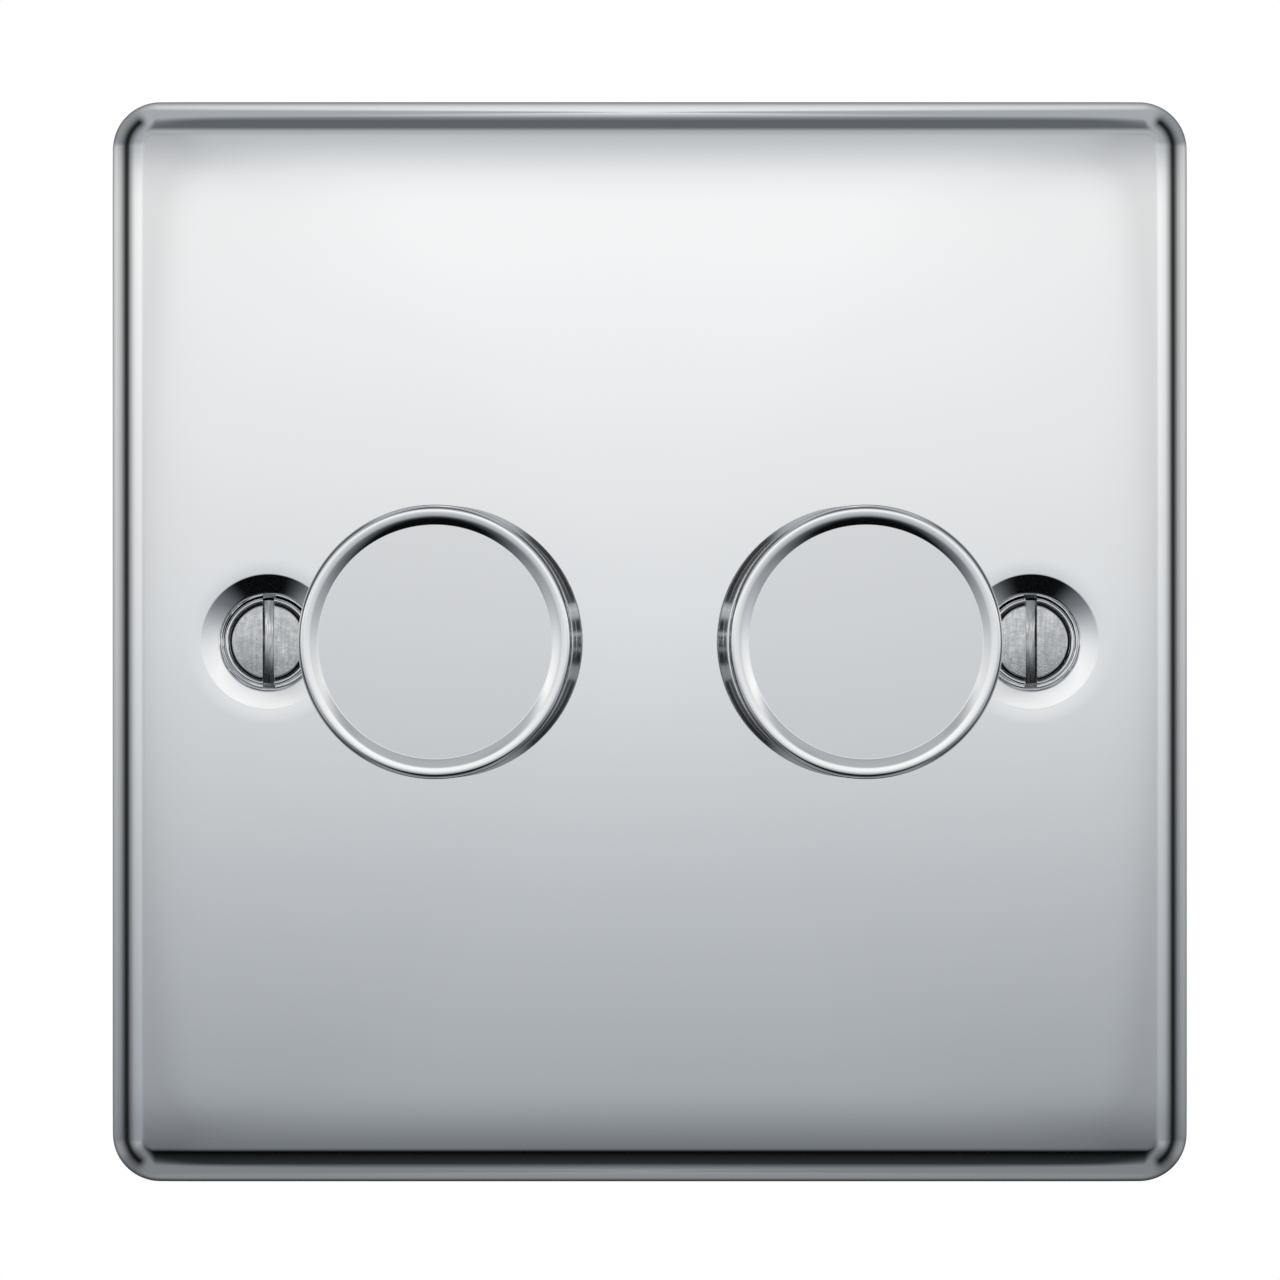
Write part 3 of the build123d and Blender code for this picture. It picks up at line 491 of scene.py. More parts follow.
def outline(name, width, height, corner, segments, y, side_cuts=0):
    """A flat rounded rectangle that faces the room, as a new piece that is open with its face selected."""
    piece = open_new(name, empty=True)
    bpy.ops.mesh.primitive_plane_add(size=MM, location=(0.0, y, 0.0), rotation=(pi / 2, 0.0, 0.0))
    bpy.ops.transform.resize(value=(width / MM, 1.0, height / MM), center_override=(0.0, y, 0.0))
    bpy.ops.mesh.bevel(offset=corner, segments=segments, affect="VERTICES")
    if side_cuts:
        pick(piece, "EDGE", lambda e: e.calc_length() > min(width, height) / 2)
        bpy.ops.mesh.subdivide(number_cuts=side_cuts)
    pick(piece, "FACE", lambda f: True)
    bpy.ops.mesh.normals_make_consistent(inside=False)
    mesh = bmesh.from_edit_mesh(piece.data)
    mesh.faces.ensure_lookup_table()
    if mesh.faces[0].normal.y > 0:
        bpy.ops.mesh.flip_normals()
    return piece


def span(low, high):
    """The width and height between two corners."""
    return high.x - low.x, high.z - low.z


def slab(name, low, high, corner, front):
    """A block with rounded corners, from the Y of its front to the high corner."""
    piece = outline(name, *span(low, high), corner, segments=6, y=high.y)
    extrude_faces((0.0, front - high.y, 0.0))
    weld_and_face_out()
    close_edit(piece)
    return piece


def place(piece, body, slot, material, *nodes):
    """Gives a finished piece its finish, its body and the solids that it stands for."""
    piece.data.materials.clear()
    piece.data.materials.append(material)
    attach(piece, body)
    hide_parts(*nodes)


# Finishes


class Wire:
    """An output of a shader node that takes part in Python arithmetic. Each operation adds a Math node."""

    def __init__(self, tree, socket=None):
        self.tree = tree
        self.socket = socket

    def node(self, kind, settings=None, inputs=None, output=0):
        """Adds a node of that type, with its settings and then the values or links of its sockets."""
        made = self.tree.nodes.new(kind)
        for key, value in (settings or {}).items():
            if key == "stops":
                ramp = made.color_ramp
                while len(ramp.elements) < len(value):
                    ramp.elements.new(0.5)
                for element, (position, tint) in zip(ramp.elements, value):
                    element.position = position
                    element.color = (*tint, 1.0)
            elif key == "interpolation" and hasattr(made, "color_ramp"):
                made.color_ramp.interpolation = value
            else:
                setattr(made, key, value)
        for key, value in (inputs or {}).items():
            if isinstance(value, Wire):
                self.tree.links.new(value.socket, made.inputs[key])
            else:
                made.inputs[key].default_value = value
        return Wire(self.tree, made.outputs[output]) if made.outputs else None

    def out(self, name):
        """Another output of the same node."""
        return Wire(self.tree, self.socket.node.outputs[name])

    def maths(self, operation, *values, clamp=False):
        inputs = dict(enumerate(values))
        return self.node("ShaderNodeMath", {"operation": operation, "use_clamp": clamp}, inputs)

    def __add__(self, other):
        return self.maths("ADD", self, other)

    __radd__ = __add__

    def __sub__(self, other):
        return self.maths("SUBTRACT", self, other)

    def __rsub__(self, other):
        return self.maths("SUBTRACT", other, self)

    def __mul__(self, other):
        return self.maths("MULTIPLY", self, other)

    __rmul__ = __mul__

    def __truediv__(self, other):
        return self.maths("DIVIDE", self, other)

    def __rtruediv__(self, other):
        return self.maths("DIVIDE", other, self)

    def step(self, low, high):
        """0 below low, 1 above high and a smooth rise between."""
        settings = {"interpolation_type": "SMOOTHSTEP"}
        return self.node("ShaderNodeMapRange", settings, {"Value": self, "From Min": low, "From Max": high})

    def blend(self, first, second):
        """A colour that goes from first to second as this value goes from 0 to 1."""
        return self.node("ShaderNodeMix", {"data_type": "RGBA"}, {0: self, 6: first, 7: second}, output=2)


    def tones(self, tint, first, second):
        """One colour at two strengths, blended by this value."""
        return self.blend(shade(tint, first), shade(tint, second))


def shade(tint, factor):
    """A colour made lighter or darker, with its alpha."""
    return (*[min(1.0, c * factor) for c in tint[:3]], 1.0)


def new_finish(name):
    """An empty node material and the wire that its nodes hang on, with Object coordinates."""
    material = bpy.data.materials.new(name)
    material.use_nodes = True
    material.node_tree.nodes.clear()
    root = Wire(material.node_tree)
    return material, root, root.node("ShaderNodeTexCoord").out("Object")


def close_finish(material, root, settings):
    surface = root.node("ShaderNodeBsdfPrincipled", None, settings)
    root.node("ShaderNodeOutputMaterial", None, {"Surface": surface})
    return material


def split(root, vector):
    """The X of a vector, which also gives its Y and Z with out()."""
    return root.node("ShaderNodeSeparateXYZ", None, {"Vector": vector})


def about_axes(root, place_on, x, z=0.0):
    """Where a point lies from the nearer of two Y axes, one on each side: across, up, along Y, radius."""
    axes = split(root, place_on)
    across = root.maths("ABSOLUTE", axes) - x
    up = axes.out("Z") - z
    return across, up, axes.out("Y"), root.maths("SQRT", across * across + up * up)


def noise(root, place_on, scale, detail=2.0, roughness=0.5):
    inputs = {"Vector": place_on, "Scale": scale, "Detail": detail, "Roughness": roughness}
    return root.node("ShaderNodeTexNoise", None, inputs)


def stretched(root, coordinates, scale):
    return root.node("ShaderNodeMapping", None, {"Vector": coordinates, "Scale": scale})


def bump(root, height, strength, distance):
    return root.node("ShaderNodeBump", None, {"Height": height, "Strength": strength, "Distance": distance})


def polished_chrome(name, tint):
    """Mirror plating with faint wiping marks and a slow change of tone."""
    material, root, place_on = new_finish(name)
    cloud = noise(root, place_on, 45.0, detail=3.0)
    wipe = noise(root, stretched(root, place_on, (140.0, 60.0, 900.0)), 1.0)
    settings = {
        "Base Color": cloud.tones(tint, 0.985, 1.01),
        "Metallic": 1.0,
        "Roughness": 0.045 + 0.02 * cloud + 0.012 * wipe,
    }
    return close_finish(material, root, settings)


def knob_chrome(name, tint, spindle, face, skirt, crest_y):
    """Mirror plating whose flat face is satin and whose flared foot is a little dull."""
    material, root, place_on = new_finish(name)
    cloud = noise(root, place_on, 60.0, detail=3.0)
    _, _, along, radius = about_axes(root, place_on, spindle)
    in_rim = 1.0 - radius.step(face - 0.06 * MM, face)
    in_front = 1.0 - along.step(crest_y + 0.3 * MM, crest_y + 0.5 * MM)
    satin = in_rim * in_front
    on_foot = radius.step(skirt, skirt + 0.04 * MM)
    turned = noise(root, root.node("ShaderNodeCombineXYZ", None, {"X": radius}), 9000.0, detail=1.0)
    settings = {
        "Base Color": satin.tones(tint, 1.0, 0.985),
        "Metallic": 1.0,
        "Roughness": 0.04 + 0.02 * cloud + satin * (0.2 + 0.015 * turned) + 0.08 * on_foot,
    }
    return close_finish(material, root, settings)


def screw_plating(name, tint, sizes):
    """Plated steel: a mottled, scuffed crown, a clean rim, painted shade near black in the ring groove, and
    in the slot painted shade along the walls and at the lower end, with streaks of grime on its floor.
    """
    material, root, place_on = new_finish(name)
    across, up, along, radius = about_axes(root, place_on, sizes.spacing)
    depth = along - sizes.front
    beside = root.maths("ABSOLUTE", across)
    half = sizes.slot / 2
    in_crown = 1.0 - radius.step(sizes.flat - 0.05 * MM, sizes.flat + 0.02 * MM)
    on_crown = in_crown * (1.0 - depth.step(0.2 * MM, 0.26 * MM))
    past_crown = radius.step(sizes.flat + 0.03 * MM, sizes.flat + 0.06 * MM)
    in_rim = 1.0 - radius.step(sizes.rim - 0.04 * MM, sizes.rim + 0.01 * MM)
    in_head = 1.0 - depth.step(sizes.head_height, sizes.head_height + 0.1 * MM)
    in_groove = past_crown * in_rim * in_head
    in_walls = 1.0 - beside.step(half + 0.01 * MM, half + 0.04 * MM)
    above_floor = 1.0 - depth.step(sizes.slot_depth + 0.05 * MM, sizes.slot_depth + 0.1 * MM)
    in_slot = depth.step(0.2 * MM, 0.3 * MM) * above_floor * in_walls
    mottle = noise(root, place_on, 1500.0, detail=5.0, roughness=0.7)
    cells = {"Vector": place_on, "Scale": 2600.0}
    pits = root.node("ShaderNodeTexVoronoi", {"feature": "DISTANCE_TO_EDGE"}, cells)
    scuff = noise(root, stretched(root, place_on, (5200.0, 400.0, 700.0)), 1.0, detail=3.0)
    tone = (mottle * 0.6 + scuff * 0.4).step(0.3, 0.7)
    metal = (on_crown * tone).tones(tint, 1.02, 0.62)
    # Painted shade in the slot: darker along its walls and at its lower end; the streaks on its floor are
    # grime
    low_end = 1.0 - up.step(-2.7 * MM, -2.3 * MM)
    slot_edge = beside.step(half - 0.16 * MM, half - 0.04 * MM)
    streak = noise(root, stretched(root, place_on, (9000.0, 400.0, 1100.0)), 1.0, detail=3.0).step(0.4, 0.62)
    slot_shade_and_grime = 0.15 + 0.3 * streak + root.maths("MAXIMUM", 0.55 * slot_edge, 0.5 * low_end)
    # The ring groove is painted near black as painted shade; the slot gets its painted shade and grime
    painted_shade_and_grime = root.maths("MAXIMUM", in_groove * (1.0 - in_slot), in_slot * slot_shade_and_grime)
    relief = on_crown * (mottle + 0.4 * pits.step(0.0, 0.12))
    settings = {
        "Base Color": painted_shade_and_grime.blend(metal, shade(tint, 0.02)),
        "Metallic": 1.0,
        "Roughness": 0.07 + on_crown * (0.12 + 0.12 * mottle) + painted_shade_and_grime * 0.4,
        "Normal": bump(root, relief, strength=0.25, distance=0.03 * MM),
    }
    return close_finish(material, root, settings)


def bright_metal(name, tint, rough, drawn=(900.0, 900.0, 900.0)):
    """Plated or drawn metal with fine marks and a slow change of tone."""
    material, root, place_on = new_finish(name)
    cloud = noise(root, place_on, 260.0, detail=3.0)
    marks = noise(root, stretched(root, place_on, drawn), 1.0, detail=4.0, roughness=0.6)
    settings = {
        "Base Color": (0.6 * cloud + 0.4 * marks).tones(tint, 0.86, 1.08),
        "Metallic": 1.0,
        "Roughness": rough + 0.16 * cloud * marks,
        "Normal": bump(root, marks, strength=0.12, distance=0.02 * MM),
    }
    return close_finish(material, root, settings)


def moulded(name, tint, rough, grain):
    """Moulded plastic with a fine spark-eroded grain and slow flow marks."""
    material, root, place_on = new_finish(name)
    cloud = noise(root, place_on, 70.0, detail=3.0)
    fine = noise(root, place_on, grain, detail=3.0, roughness=0.6)
    spots = root.node("ShaderNodeTexVoronoi", None, {"Vector": place_on, "Scale": grain * 0.7})
    texture = 0.7 * fine + 0.3 * spots
    settings = {
        "Base Color": (0.7 * cloud + 0.3 * fine).tones(tint, 0.82, 1.2),
        "Roughness": rough + 0.12 * texture - 0.05 * cloud,
        "Specular IOR Level": 0.45,
        "Normal": bump(root, texture, strength=0.22, distance=0.04 * MM),
    }
    return close_finish(material, root, settings)


def laminate(name, tint):
    """Glass-filled board with its weave showing and darker copper tracks under the lacquer."""
    material, root, place_on = new_finish(name)
    axes = split(root, place_on)
    weave = root.maths("SINE", axes * 9000.0) * root.maths("SINE", axes.out("Z") * 9000.0)
    layout = {
        "Vector": root.node("ShaderNodeCombineXYZ", None, {"X": axes, "Y": axes.out("Z")}),
        "Scale": 120.0,
        "Mortar Size": 0.06,
        "Mortar Smooth": 0.2,
        "Brick Width": 0.9,
        "Row Height": 0.3,
    }
    tracks = root.node("ShaderNodeTexBrick", {"offset": 0.37, "squash": 1.0}, layout).out("Fac")
    cloud = noise(root, place_on, 150.0)
    settings = {
        "Base Color": (tracks * 0.8 + 0.1 * weave + 0.1 * cloud).tones(tint, 0.8, 1.7),
        "Roughness": 0.34 + 0.1 * cloud,
        "Normal": bump(root, tracks + 0.1 * weave, strength=0.3, distance=0.05 * MM),
    }
    return close_finish(material, root, settings)


def wound_copper(name, tint, centre):
    """Enamelled wire wound round a ring: a bumped line for each turn, with a painted highlight along each
    turn and painted shade between turns.
    """
    material, root, place_on = new_finish(name)
    across, up, _, radius = about_axes(root, place_on, *centre)
    turns = root.maths("SINE", root.maths("ARCTAN2", up, across) * 40.0)
    cloud = noise(root, place_on, 400.0)
    settings = {
        # Painted highlight on each turn and painted shade between turns
        "Base Color": (0.5 + 0.35 * turns + 0.15 * cloud).tones(tint, 0.35, 1.15),
        "Metallic": 0.6 + 0.2 * cloud,
        "Roughness": 0.3 + 0.1 * cloud,
        "Normal": bump(root, turns + radius, strength=0.6, distance=0.15 * MM),
    }
    return close_finish(material, root, settings)


# Pieces


class DIMMER_OT_face_plate(bpy.types.Operator):
    """Presses the face plate from one sheet: rolled rim, slow pillow, screw dishes and bush holes"""

    bl_idname = "dimmer.face_plate"
    bl_label = "Face plate"

    def execute(self, context):
        sizes = context.scene.dimmer_plate
        face_y = -sizes.depth
        plate = outline(
            "face_plate_sheet", sizes.width, sizes.height, sizes.corner, segments=28, y=0.0, side_cuts=60
        )
        extrude_faces((0.0, face_y + sizes.bend, 0.0))
        bend_steps = 36
        bends = [pi / 2 * i / bend_steps for i in range(bend_steps + 1)]
        for a, b in zip(bends, bends[1:]):
            run = sizes.bend * (cos(a) - cos(b))
            rise = sizes.bend * (sin(b) - sin(a))
            bpy.ops.mesh.inset(thickness=run, depth=rise, use_even_offset=True, use_boundary=True)
        bpy.ops.mesh.inset(thickness=sizes.hem, depth=0.0, use_even_offset=True, use_boundary=True)
        bpy.ops.mesh.delete(type="ONLY_FACE")
        pick(plate, "FACE", lambda f: f.calc_center_median().y > -TINY)
        bpy.ops.mesh.delete(type="ONLY_FACE")
        for side in SIDES.values():
            self.add_dish(side * context.scene.dimmer_screw.spacing, face_y, sizes)
            bush = (side * context.scene.dimmer_knob.spindle, face_y, 0.0)
            bpy.ops.mesh.primitive_circle_add(
                vertices=96, radius=sizes.bush_hole, location=bush, rotation=(pi / 2, 0.0, 0.0)
            )

        def bounds_the_face(edge):
            return len(edge.link_faces) < 2 and all(abs(v.co.y - face_y) < TINY for v in edge.verts)

        pick(plate, "EDGE", bounds_the_face)
        bpy.ops.mesh.fill(use_beauty=True)
        self.cut_the_pillow(plate, face_y, sizes)
        weld_and_face_out()
        close_edit(plate)
        self.press_the_pillow(plate, face_y, sizes)
        bpy.ops.object.mode_set(mode="EDIT")
        if sum(p.normal.y * p.area for p in plate.data.polygons) > 0:
            bpy.ops.mesh.select_all(action="SELECT")
            bpy.ops.mesh.flip_normals()

        def touches_the_wall(edge):
            end = edge.verts[0].co
            near_the_wall = end.y > face_y / 2
            by_the_outline = abs(end.x) + abs(end.z) > sizes.width / 2
            return len(edge.link_faces) < 2 and near_the_wall and by_the_outline

        pick(plate, "EDGE", touches_the_wall)
        bpy.ops.transform.resize(value=(1.0, 0.0, 1.0), center_override=(0.0, 0.0, 0.0))
        bpy.ops.object.mode_set(mode="OBJECT")
        modify(plate, "SOLIDIFY", thickness=sizes.sheet, offset=-1.0, use_even_offset=True)
        smooth(plate)
        chrome = polished_chrome("chrome_of_the_plate", context.scene.dimmer_colours.chrome)
        place(plate, "base", "chrome_plate", chrome, "face_plate")
        return {"FINISHED"}

    def add_dish(self, x, face_y, sizes):
        """Rings that lead from the flat face down to a screw hole."""
        wall_end = sizes.dish_foot + 0.12 * MM
        slopes = (
            (sizes.dish_start, 0.0),
            (sizes.dish, 2.0),
            (sizes.dish - 0.05 * MM, 9.2),
            (wall_end, 9.8),
            (sizes.dish_foot, 40.0),
            (sizes.dish_foot - 0.1 * MM, 45.0),
            (sizes.dish_hole, 45.0),
        )
        rings = [(sizes.dish_start + sizes.hem, face_y)] + sloped(slopes, face_y, step=0.06 * MM)
        shares = [(sizes.dish - r) / (sizes.dish - wall_end) for r, _ in rings]
        tips = [sizes.dish_tip * min(1.0, max(0.0, share)) for share in shares]
        bpy.ops.mesh.primitive_circle_add(
            vertices=128, radius=rings[0][0], location=(x, face_y, 0.0), rotation=(pi / 2, 0.0, 0.0)
        )
        for (r0, y0), (r1, y1), t0, t1 in zip(rings, rings[1:], tips, tips[1:]):
            bpy.ops.mesh.extrude_edges_move(TRANSFORM_OT_translate={"value": (0.0, y1 - y0, 0.0)})
            bpy.ops.transform.resize(value=(r1 / r0, 1.0, r1 / r0), center_override=(x, 0.0, 0.0))
            if t1 > t0:
                bpy.ops.transform.rotate(value=t1 - t0, orient_axis="X", center_override=(x, y1, 0.0))

    def cut_the_pillow(self, plate, face_y, sizes):
        """Cuts the flat into narrow strips where the pillow will bend it."""
        strips = 12
        for axis, half in ((0, sizes.width / 2), (2, sizes.height / 2)):
            near = half - sizes.pillow_run - 1.0 * MM
            far = half - sizes.bend - sizes.hem
            for i in range(strips):
                for sign in (-1, 1):
                    at = sign * (near + (far - near) * i / strips)

                    def crosses(face):
                        along = [v.co[axis] - at for v in face.verts]
                        flat = all(abs(v.co.y - face_y) < TINY for v in face.verts)
                        return flat and min(along) < -TINY and max(along) > TINY

                    pick(plate, "FACE", crosses)
                    point = [0.0, face_y, 0.0]
                    point[axis] = at
                    normal = [0.0, 0.0, 0.0]
                    normal[axis] = 1.0
                    bpy.ops.mesh.bisect(plane_co=point, plane_no=normal)

    def press_the_pillow(self, plate, face_y, sizes):
        """Lets the face fall away slowly towards all four sides, with a lattice."""
        clear_selection()
        bpy.ops.object.add(type="LATTICE", location=(0.0, face_y / 2, 0.0))
        press = bpy.context.object
        span = 1.2 * sizes.height
        press.scale = (span, 4 * sizes.depth, span)
        press.data.points_u = press.data.points_w = 64
        press.data.interpolation_type_u = press.data.interpolation_type_w = "KEY_BSPLINE"
        reach = max(point.co.x for point in press.data.points)
        for point in press.data.points:
            fall = 0.0
            for along, half in ((point.co.x, sizes.width / 2), (point.co.z, sizes.height / 2)):
                beyond = abs(along) / reach * span / 2 - (half - sizes.pillow_run)
                fall += max(0.0, beyond) ** 2 / (2 * sizes.pillow)
            point.co_deform.y += fall / press.scale.y
        modify(plate, "LATTICE", object=press)
        bpy.data.objects.remove(press, do_unlink=True)


class DIMMER_OT_knobs(bpy.types.Operator):
    """Turns a knob with a flat face inside a rounded rim, a tapered skirt and a boss, and copies it"""

    bl_idname = "dimmer.knobs"
    bl_label = "Knobs"

    def execute(self, context):
        sizes = context.scene.dimmer_knob
        left = lathe("left_knob_cap", sizes.spindle, 0.0, self.section(sizes), steps=160)
        smooth(left)
        right = copy_at(left, "right_knob_cap", (-2 * sizes.spindle, 0.0, 0.0))
        tint = context.scene.dimmer_colours.knob
        skirt = sizes.radius + sizes.flare
        chrome = knob_chrome("chrome_of_the_knobs", tint, -sizes.spindle, sizes.face, skirt, sizes.front)
        place(left, "left_spindle", "chrome_knob", chrome, "left_knob")
        place(right, "right_spindle", "chrome_knob", chrome, "right_knob")
        return {"FINISHED"}

    def rim(self, sizes, turn_down):
        """The front of the rim, from the flat face over the crest to where it turns down to the skirt."""
        lean = degrees(sizes.rim_slope)
        slopes = (
            (sizes.face, -lean),
            (sizes.knee, -0.77 * lean),
            (sizes.knee + 0.15 * MM, -0.43 * lean),
            (sizes.crest - 0.12 * MM, -0.27 * lean),
            (sizes.crest, 0.0),
            (sizes.edge, turn_down),
        )
        points = sloped(slopes, 0.0, step=0.04 * MM)
        crest = min(y for _, y in points)
        return [(r, y - crest + sizes.front) for r, y in points]

    def section(self, sizes):
        """Half a section, from the middle of the face round to the middle of the inside."""
        turn_down = 5.0
        rim = self.rim(sizes, turn_down)
        edge_round = (sizes.radius - sizes.edge) / (1 - sin(radians(turn_down)))
        edge_centre = (sizes.radius - edge_round, rim[-1][1] + edge_round * cos(radians(turn_down)))
        taper = degrees(atan(sizes.flare / (sizes.base - sizes.foot - sizes.front)))
        skirt = sizes.radius + sizes.flare
        break_edge = 0.05 * MM
        chamfer = 4 * break_edge
        points = [(0.0, rim[0][1]), *rim]
        points += arc(edge_centre, edge_round, 90 - turn_down, taper, steps=20)[1:]
        points += [
            (skirt, sizes.base - sizes.foot - break_edge),
            (skirt + break_edge, sizes.base - sizes.foot),
            (sizes.base_radius - break_edge, sizes.base - sizes.foot_edge - break_edge),
            (sizes.base_radius, sizes.base - sizes.foot_edge),
            (sizes.base_radius, sizes.base - break_edge),
            (sizes.base_radius - break_edge, sizes.base),
            (sizes.wall + chamfer, sizes.base),
            (sizes.wall, sizes.base - chamfer),
            (sizes.wall, sizes.ceiling),
            (sizes.boss, sizes.ceiling),
            (sizes.boss, sizes.boss_end - chamfer),
            (sizes.boss - chamfer, sizes.boss_end),
            (sizes.bore, sizes.boss_end),
            (sizes.bore, sizes.ceiling),
            (0.0, sizes.ceiling),
        ]
        return points


class DIMMER_OT_fixing_screws(bpy.types.Operator):
    """Turns a slotted fixing screw with a wound thread, and copies it"""

    bl_idname = "dimmer.fixing_screws"
    bl_label = "Fixing screws"

    def execute(self, context):
        sizes = context.scene.dimmer_screw
        x = -sizes.spacing
        body = lathe("left_screw_body", x, 0.0, self.section(sizes), steps=96)
        slot_low = (x - sizes.slot / 2, sizes.front - sizes.head, -2 * sizes.head)
        slot_high = (x + sizes.slot / 2, sizes.front + sizes.slot_depth, 2 * sizes.head)
        combine(body, [block(slot_low, slot_high)])
        soften_edges(body, 0.035 * MM)
        thread = self.thread("left_screw_thread", x, start=0.5 * MM, end=sizes.end - 0.9 * MM, sizes=sizes)
        left = join("left_slotted_screw", [body, thread])
        smooth(left)
        right = copy_at(left, "right_slotted_screw", (2 * sizes.spacing, 0.0, 0.0))
        plating = screw_plating("plating_of_the_screws", context.scene.dimmer_colours.screw, sizes)
        place(left, "base", "chrome_screw", plating, "left_fixing_screw")
        place(right, "base", "chrome_screw", plating, "right_fixing_screw")
        return {"FINISHED"}

    def section(self, sizes):
        """Half a section, from the middle of the crowned head to the middle of the tip."""
        front = sizes.front
        groove = front + sizes.groove_depth
        crown_steps = 8
        radii = [sizes.flat * i / crown_steps for i in range(crown_steps + 1)]
        points = [(r, front + r**2 / (2 * sizes.crown)) for r in radii]
        crown_edge = points[-1][1]
        points += [
            (sizes.flat + 0.05 * MM, crown_edge + 0.03 * MM),
            (sizes.flat + 0.08 * MM, crown_edge + 0.08 * MM),
            (sizes.flat + 0.1 * MM, groove),
            (sizes.rim - 0.04 * MM, groove),
        ]
        rim_round = (sizes.head - sizes.rim) / 2
        rim_centre = (sizes.rim + rim_round, front + sizes.rim_drop + rim_round)
        points += arc(rim_centre, rim_round, 170, 0, steps=14)
        rim_back = front + sizes.head_height
        neck_end = 0.2 * MM
        tip = 0.8 * MM
        points += [
            (sizes.head, rim_back),
            (sizes.neck, rim_back + sizes.head - sizes.neck),
            (sizes.neck, neck_end),
            (sizes.root, 2 * neck_end),
            (sizes.root, sizes.end - 0.5 * MM),
            (tip, sizes.end),
            (0.0, sizes.end),
        ]
        return points

    def thread(self, name, x, start, end, sizes):
        """One ridge wound round the shank, closed at both ends."""
        turns = int((end - start) / sizes.pitch)
        inner = sizes.root - 0.08 * MM
        corners = [
            (inner, 0.0),
            (sizes.crest, 0.44 * sizes.pitch),
            (sizes.crest, 0.52 * sizes.pitch),
            (inner, 0.96 * sizes.pitch),
            (inner, 0.0),
        ]
        ridge = open_new(name)
        draw_line(0.0, 0.0, corners)
        bpy.ops.mesh.remove_doubles(threshold=WELD)
        wind(ridge, sizes.pitch, turns, steps=28)
        bpy.ops.transform.translate(value=(x, start, 0.0))
        close_edit(ridge)
        return ridge


class DIMMER_OT_back_liner(bpy.types.Operator):
    """Moulds the insulating liner: a shallow tray with a fence for the housing and stiffening ribs"""

    bl_idname = "dimmer.back_liner"
    bl_label = "Back liner"

    def execute(self, context):
        sizes = context.scene.dimmer_liner
        liner = self.tray(sizes)
        floor = LINER_LOW.y + sizes.floor
        bars = self.fence(floor, sizes) + self.ribs(floor, sizes)
        combine(liner, [block(low, high) for low, high in bars], "UNION")
        combine(liner, self.holes(context.scene, sizes))
        soften_edges(liner, sizes.soft_edge)
        smooth(liner, 40.0)
        plastic = moulded("liner_moulding", context.scene.dimmer_colours.liner, rough=0.5, grain=2600.0)
        place(liner, "base", "liner_plastic", plastic, "back_liner")
        return {"FINISHED"}

    def tray(self, sizes):
        """A shallow tray that is open to the wall, with a chamfered front."""
        front = LINER_LOW.y
        liner = outline("liner_tray", *span(LINER_LOW, LINER_HIGH), sizes.corner, segments=8, y=sizes.back)
        extrude_faces((0.0, front + sizes.chamfer - sizes.back, 0.0))
        bpy.ops.mesh.inset(thickness=sizes.chamfer, depth=sizes.chamfer, use_even_offset=True)
        pick(liner, "FACE", lambda f: abs(f.calc_center_median().y - sizes.back) < TINY)
        bpy.ops.mesh.inset(thickness=sizes.wall, depth=0.0, use_even_offset=True)
        extrude_faces((0.0, front + sizes.floor - sizes.back, 0.0))
        weld_and_face_out()
        close_edit(liner)
        return liner

    def fence_reach(self, sizes):
        """How far the outside of the fence is from the middle, across and up."""
        around = sizes.fence_gap + sizes.fence
        return HOUSING_HIGH.x + around, HOUSING_HIGH.z + around

    def fence(self, floor, sizes):
        """Four bars round the housing."""
        sunk = floor - SINK
        top = floor + sizes.fence_height
        x, z = self.fence_reach(sizes)
        inner_x = x - sizes.fence
        inner_z = z - sizes.fence
        return [
            ((-x, sunk, inner_z), (x, top, z)),
            ((-x, sunk, -z), (x, top, -inner_z)),
            ((-x, sunk, -inner_z), (-inner_x, top, inner_z)),
            ((inner_x, sunk, -inner_z), (x, top, inner_z)),
        ]

    def ribs(self, floor, sizes):
        """Ribs from the fence to the tray's wall, none where a screw or the earth terminal is."""
        sunk = floor - SINK
        top = floor + sizes.rib_height
        half = sizes.rib / 2
        x, z = self.fence_reach(sizes)
        width, height = span(LINER_LOW, LINER_HIGH)
        far_x = width / 2 - sizes.wall + LAP
        far_z = height / 2 - sizes.wall + LAP
        bars = []
        for at in (-sizes.rib_spacing, 0.0, sizes.rib_spacing):
            bars.append(((at - half, sunk, z - LAP), (at + half, top, far_z)))
            if at:
                bars.append(((at - half, sunk, -far_z), (at + half, top, LAP - z)))
                bars.append(((x - LAP, sunk, at - half), (far_x, top, at + half)))
                bars.append(((-far_x, sunk, at - half), (LAP - x, top, at + half)))
        return bars

    def holes(self, scene, sizes):
        """Cutters for the screw dishes, the bushes and the earth terminal."""
        before, behind = 2 * LINER_LOW.y, -2 * LINER_LOW.y
        cutters = []
        for side in SIDES.values():
            for at, radius in (
                (side * scene.dimmer_screw.spacing, sizes.screw_hole),
                (side * scene.dimmer_knob.spindle, sizes.bush_hole),
            ):
                cutters.append(drill(radius, (at, before, 0.0), (at, behind, 0.0)))
        low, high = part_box("earth_terminal")
        gap = 0.2 * MM
        cutters.append(block((low.x - gap, before, low.z - gap), (high.x + gap, behind, high.z + gap)))
        return cutters


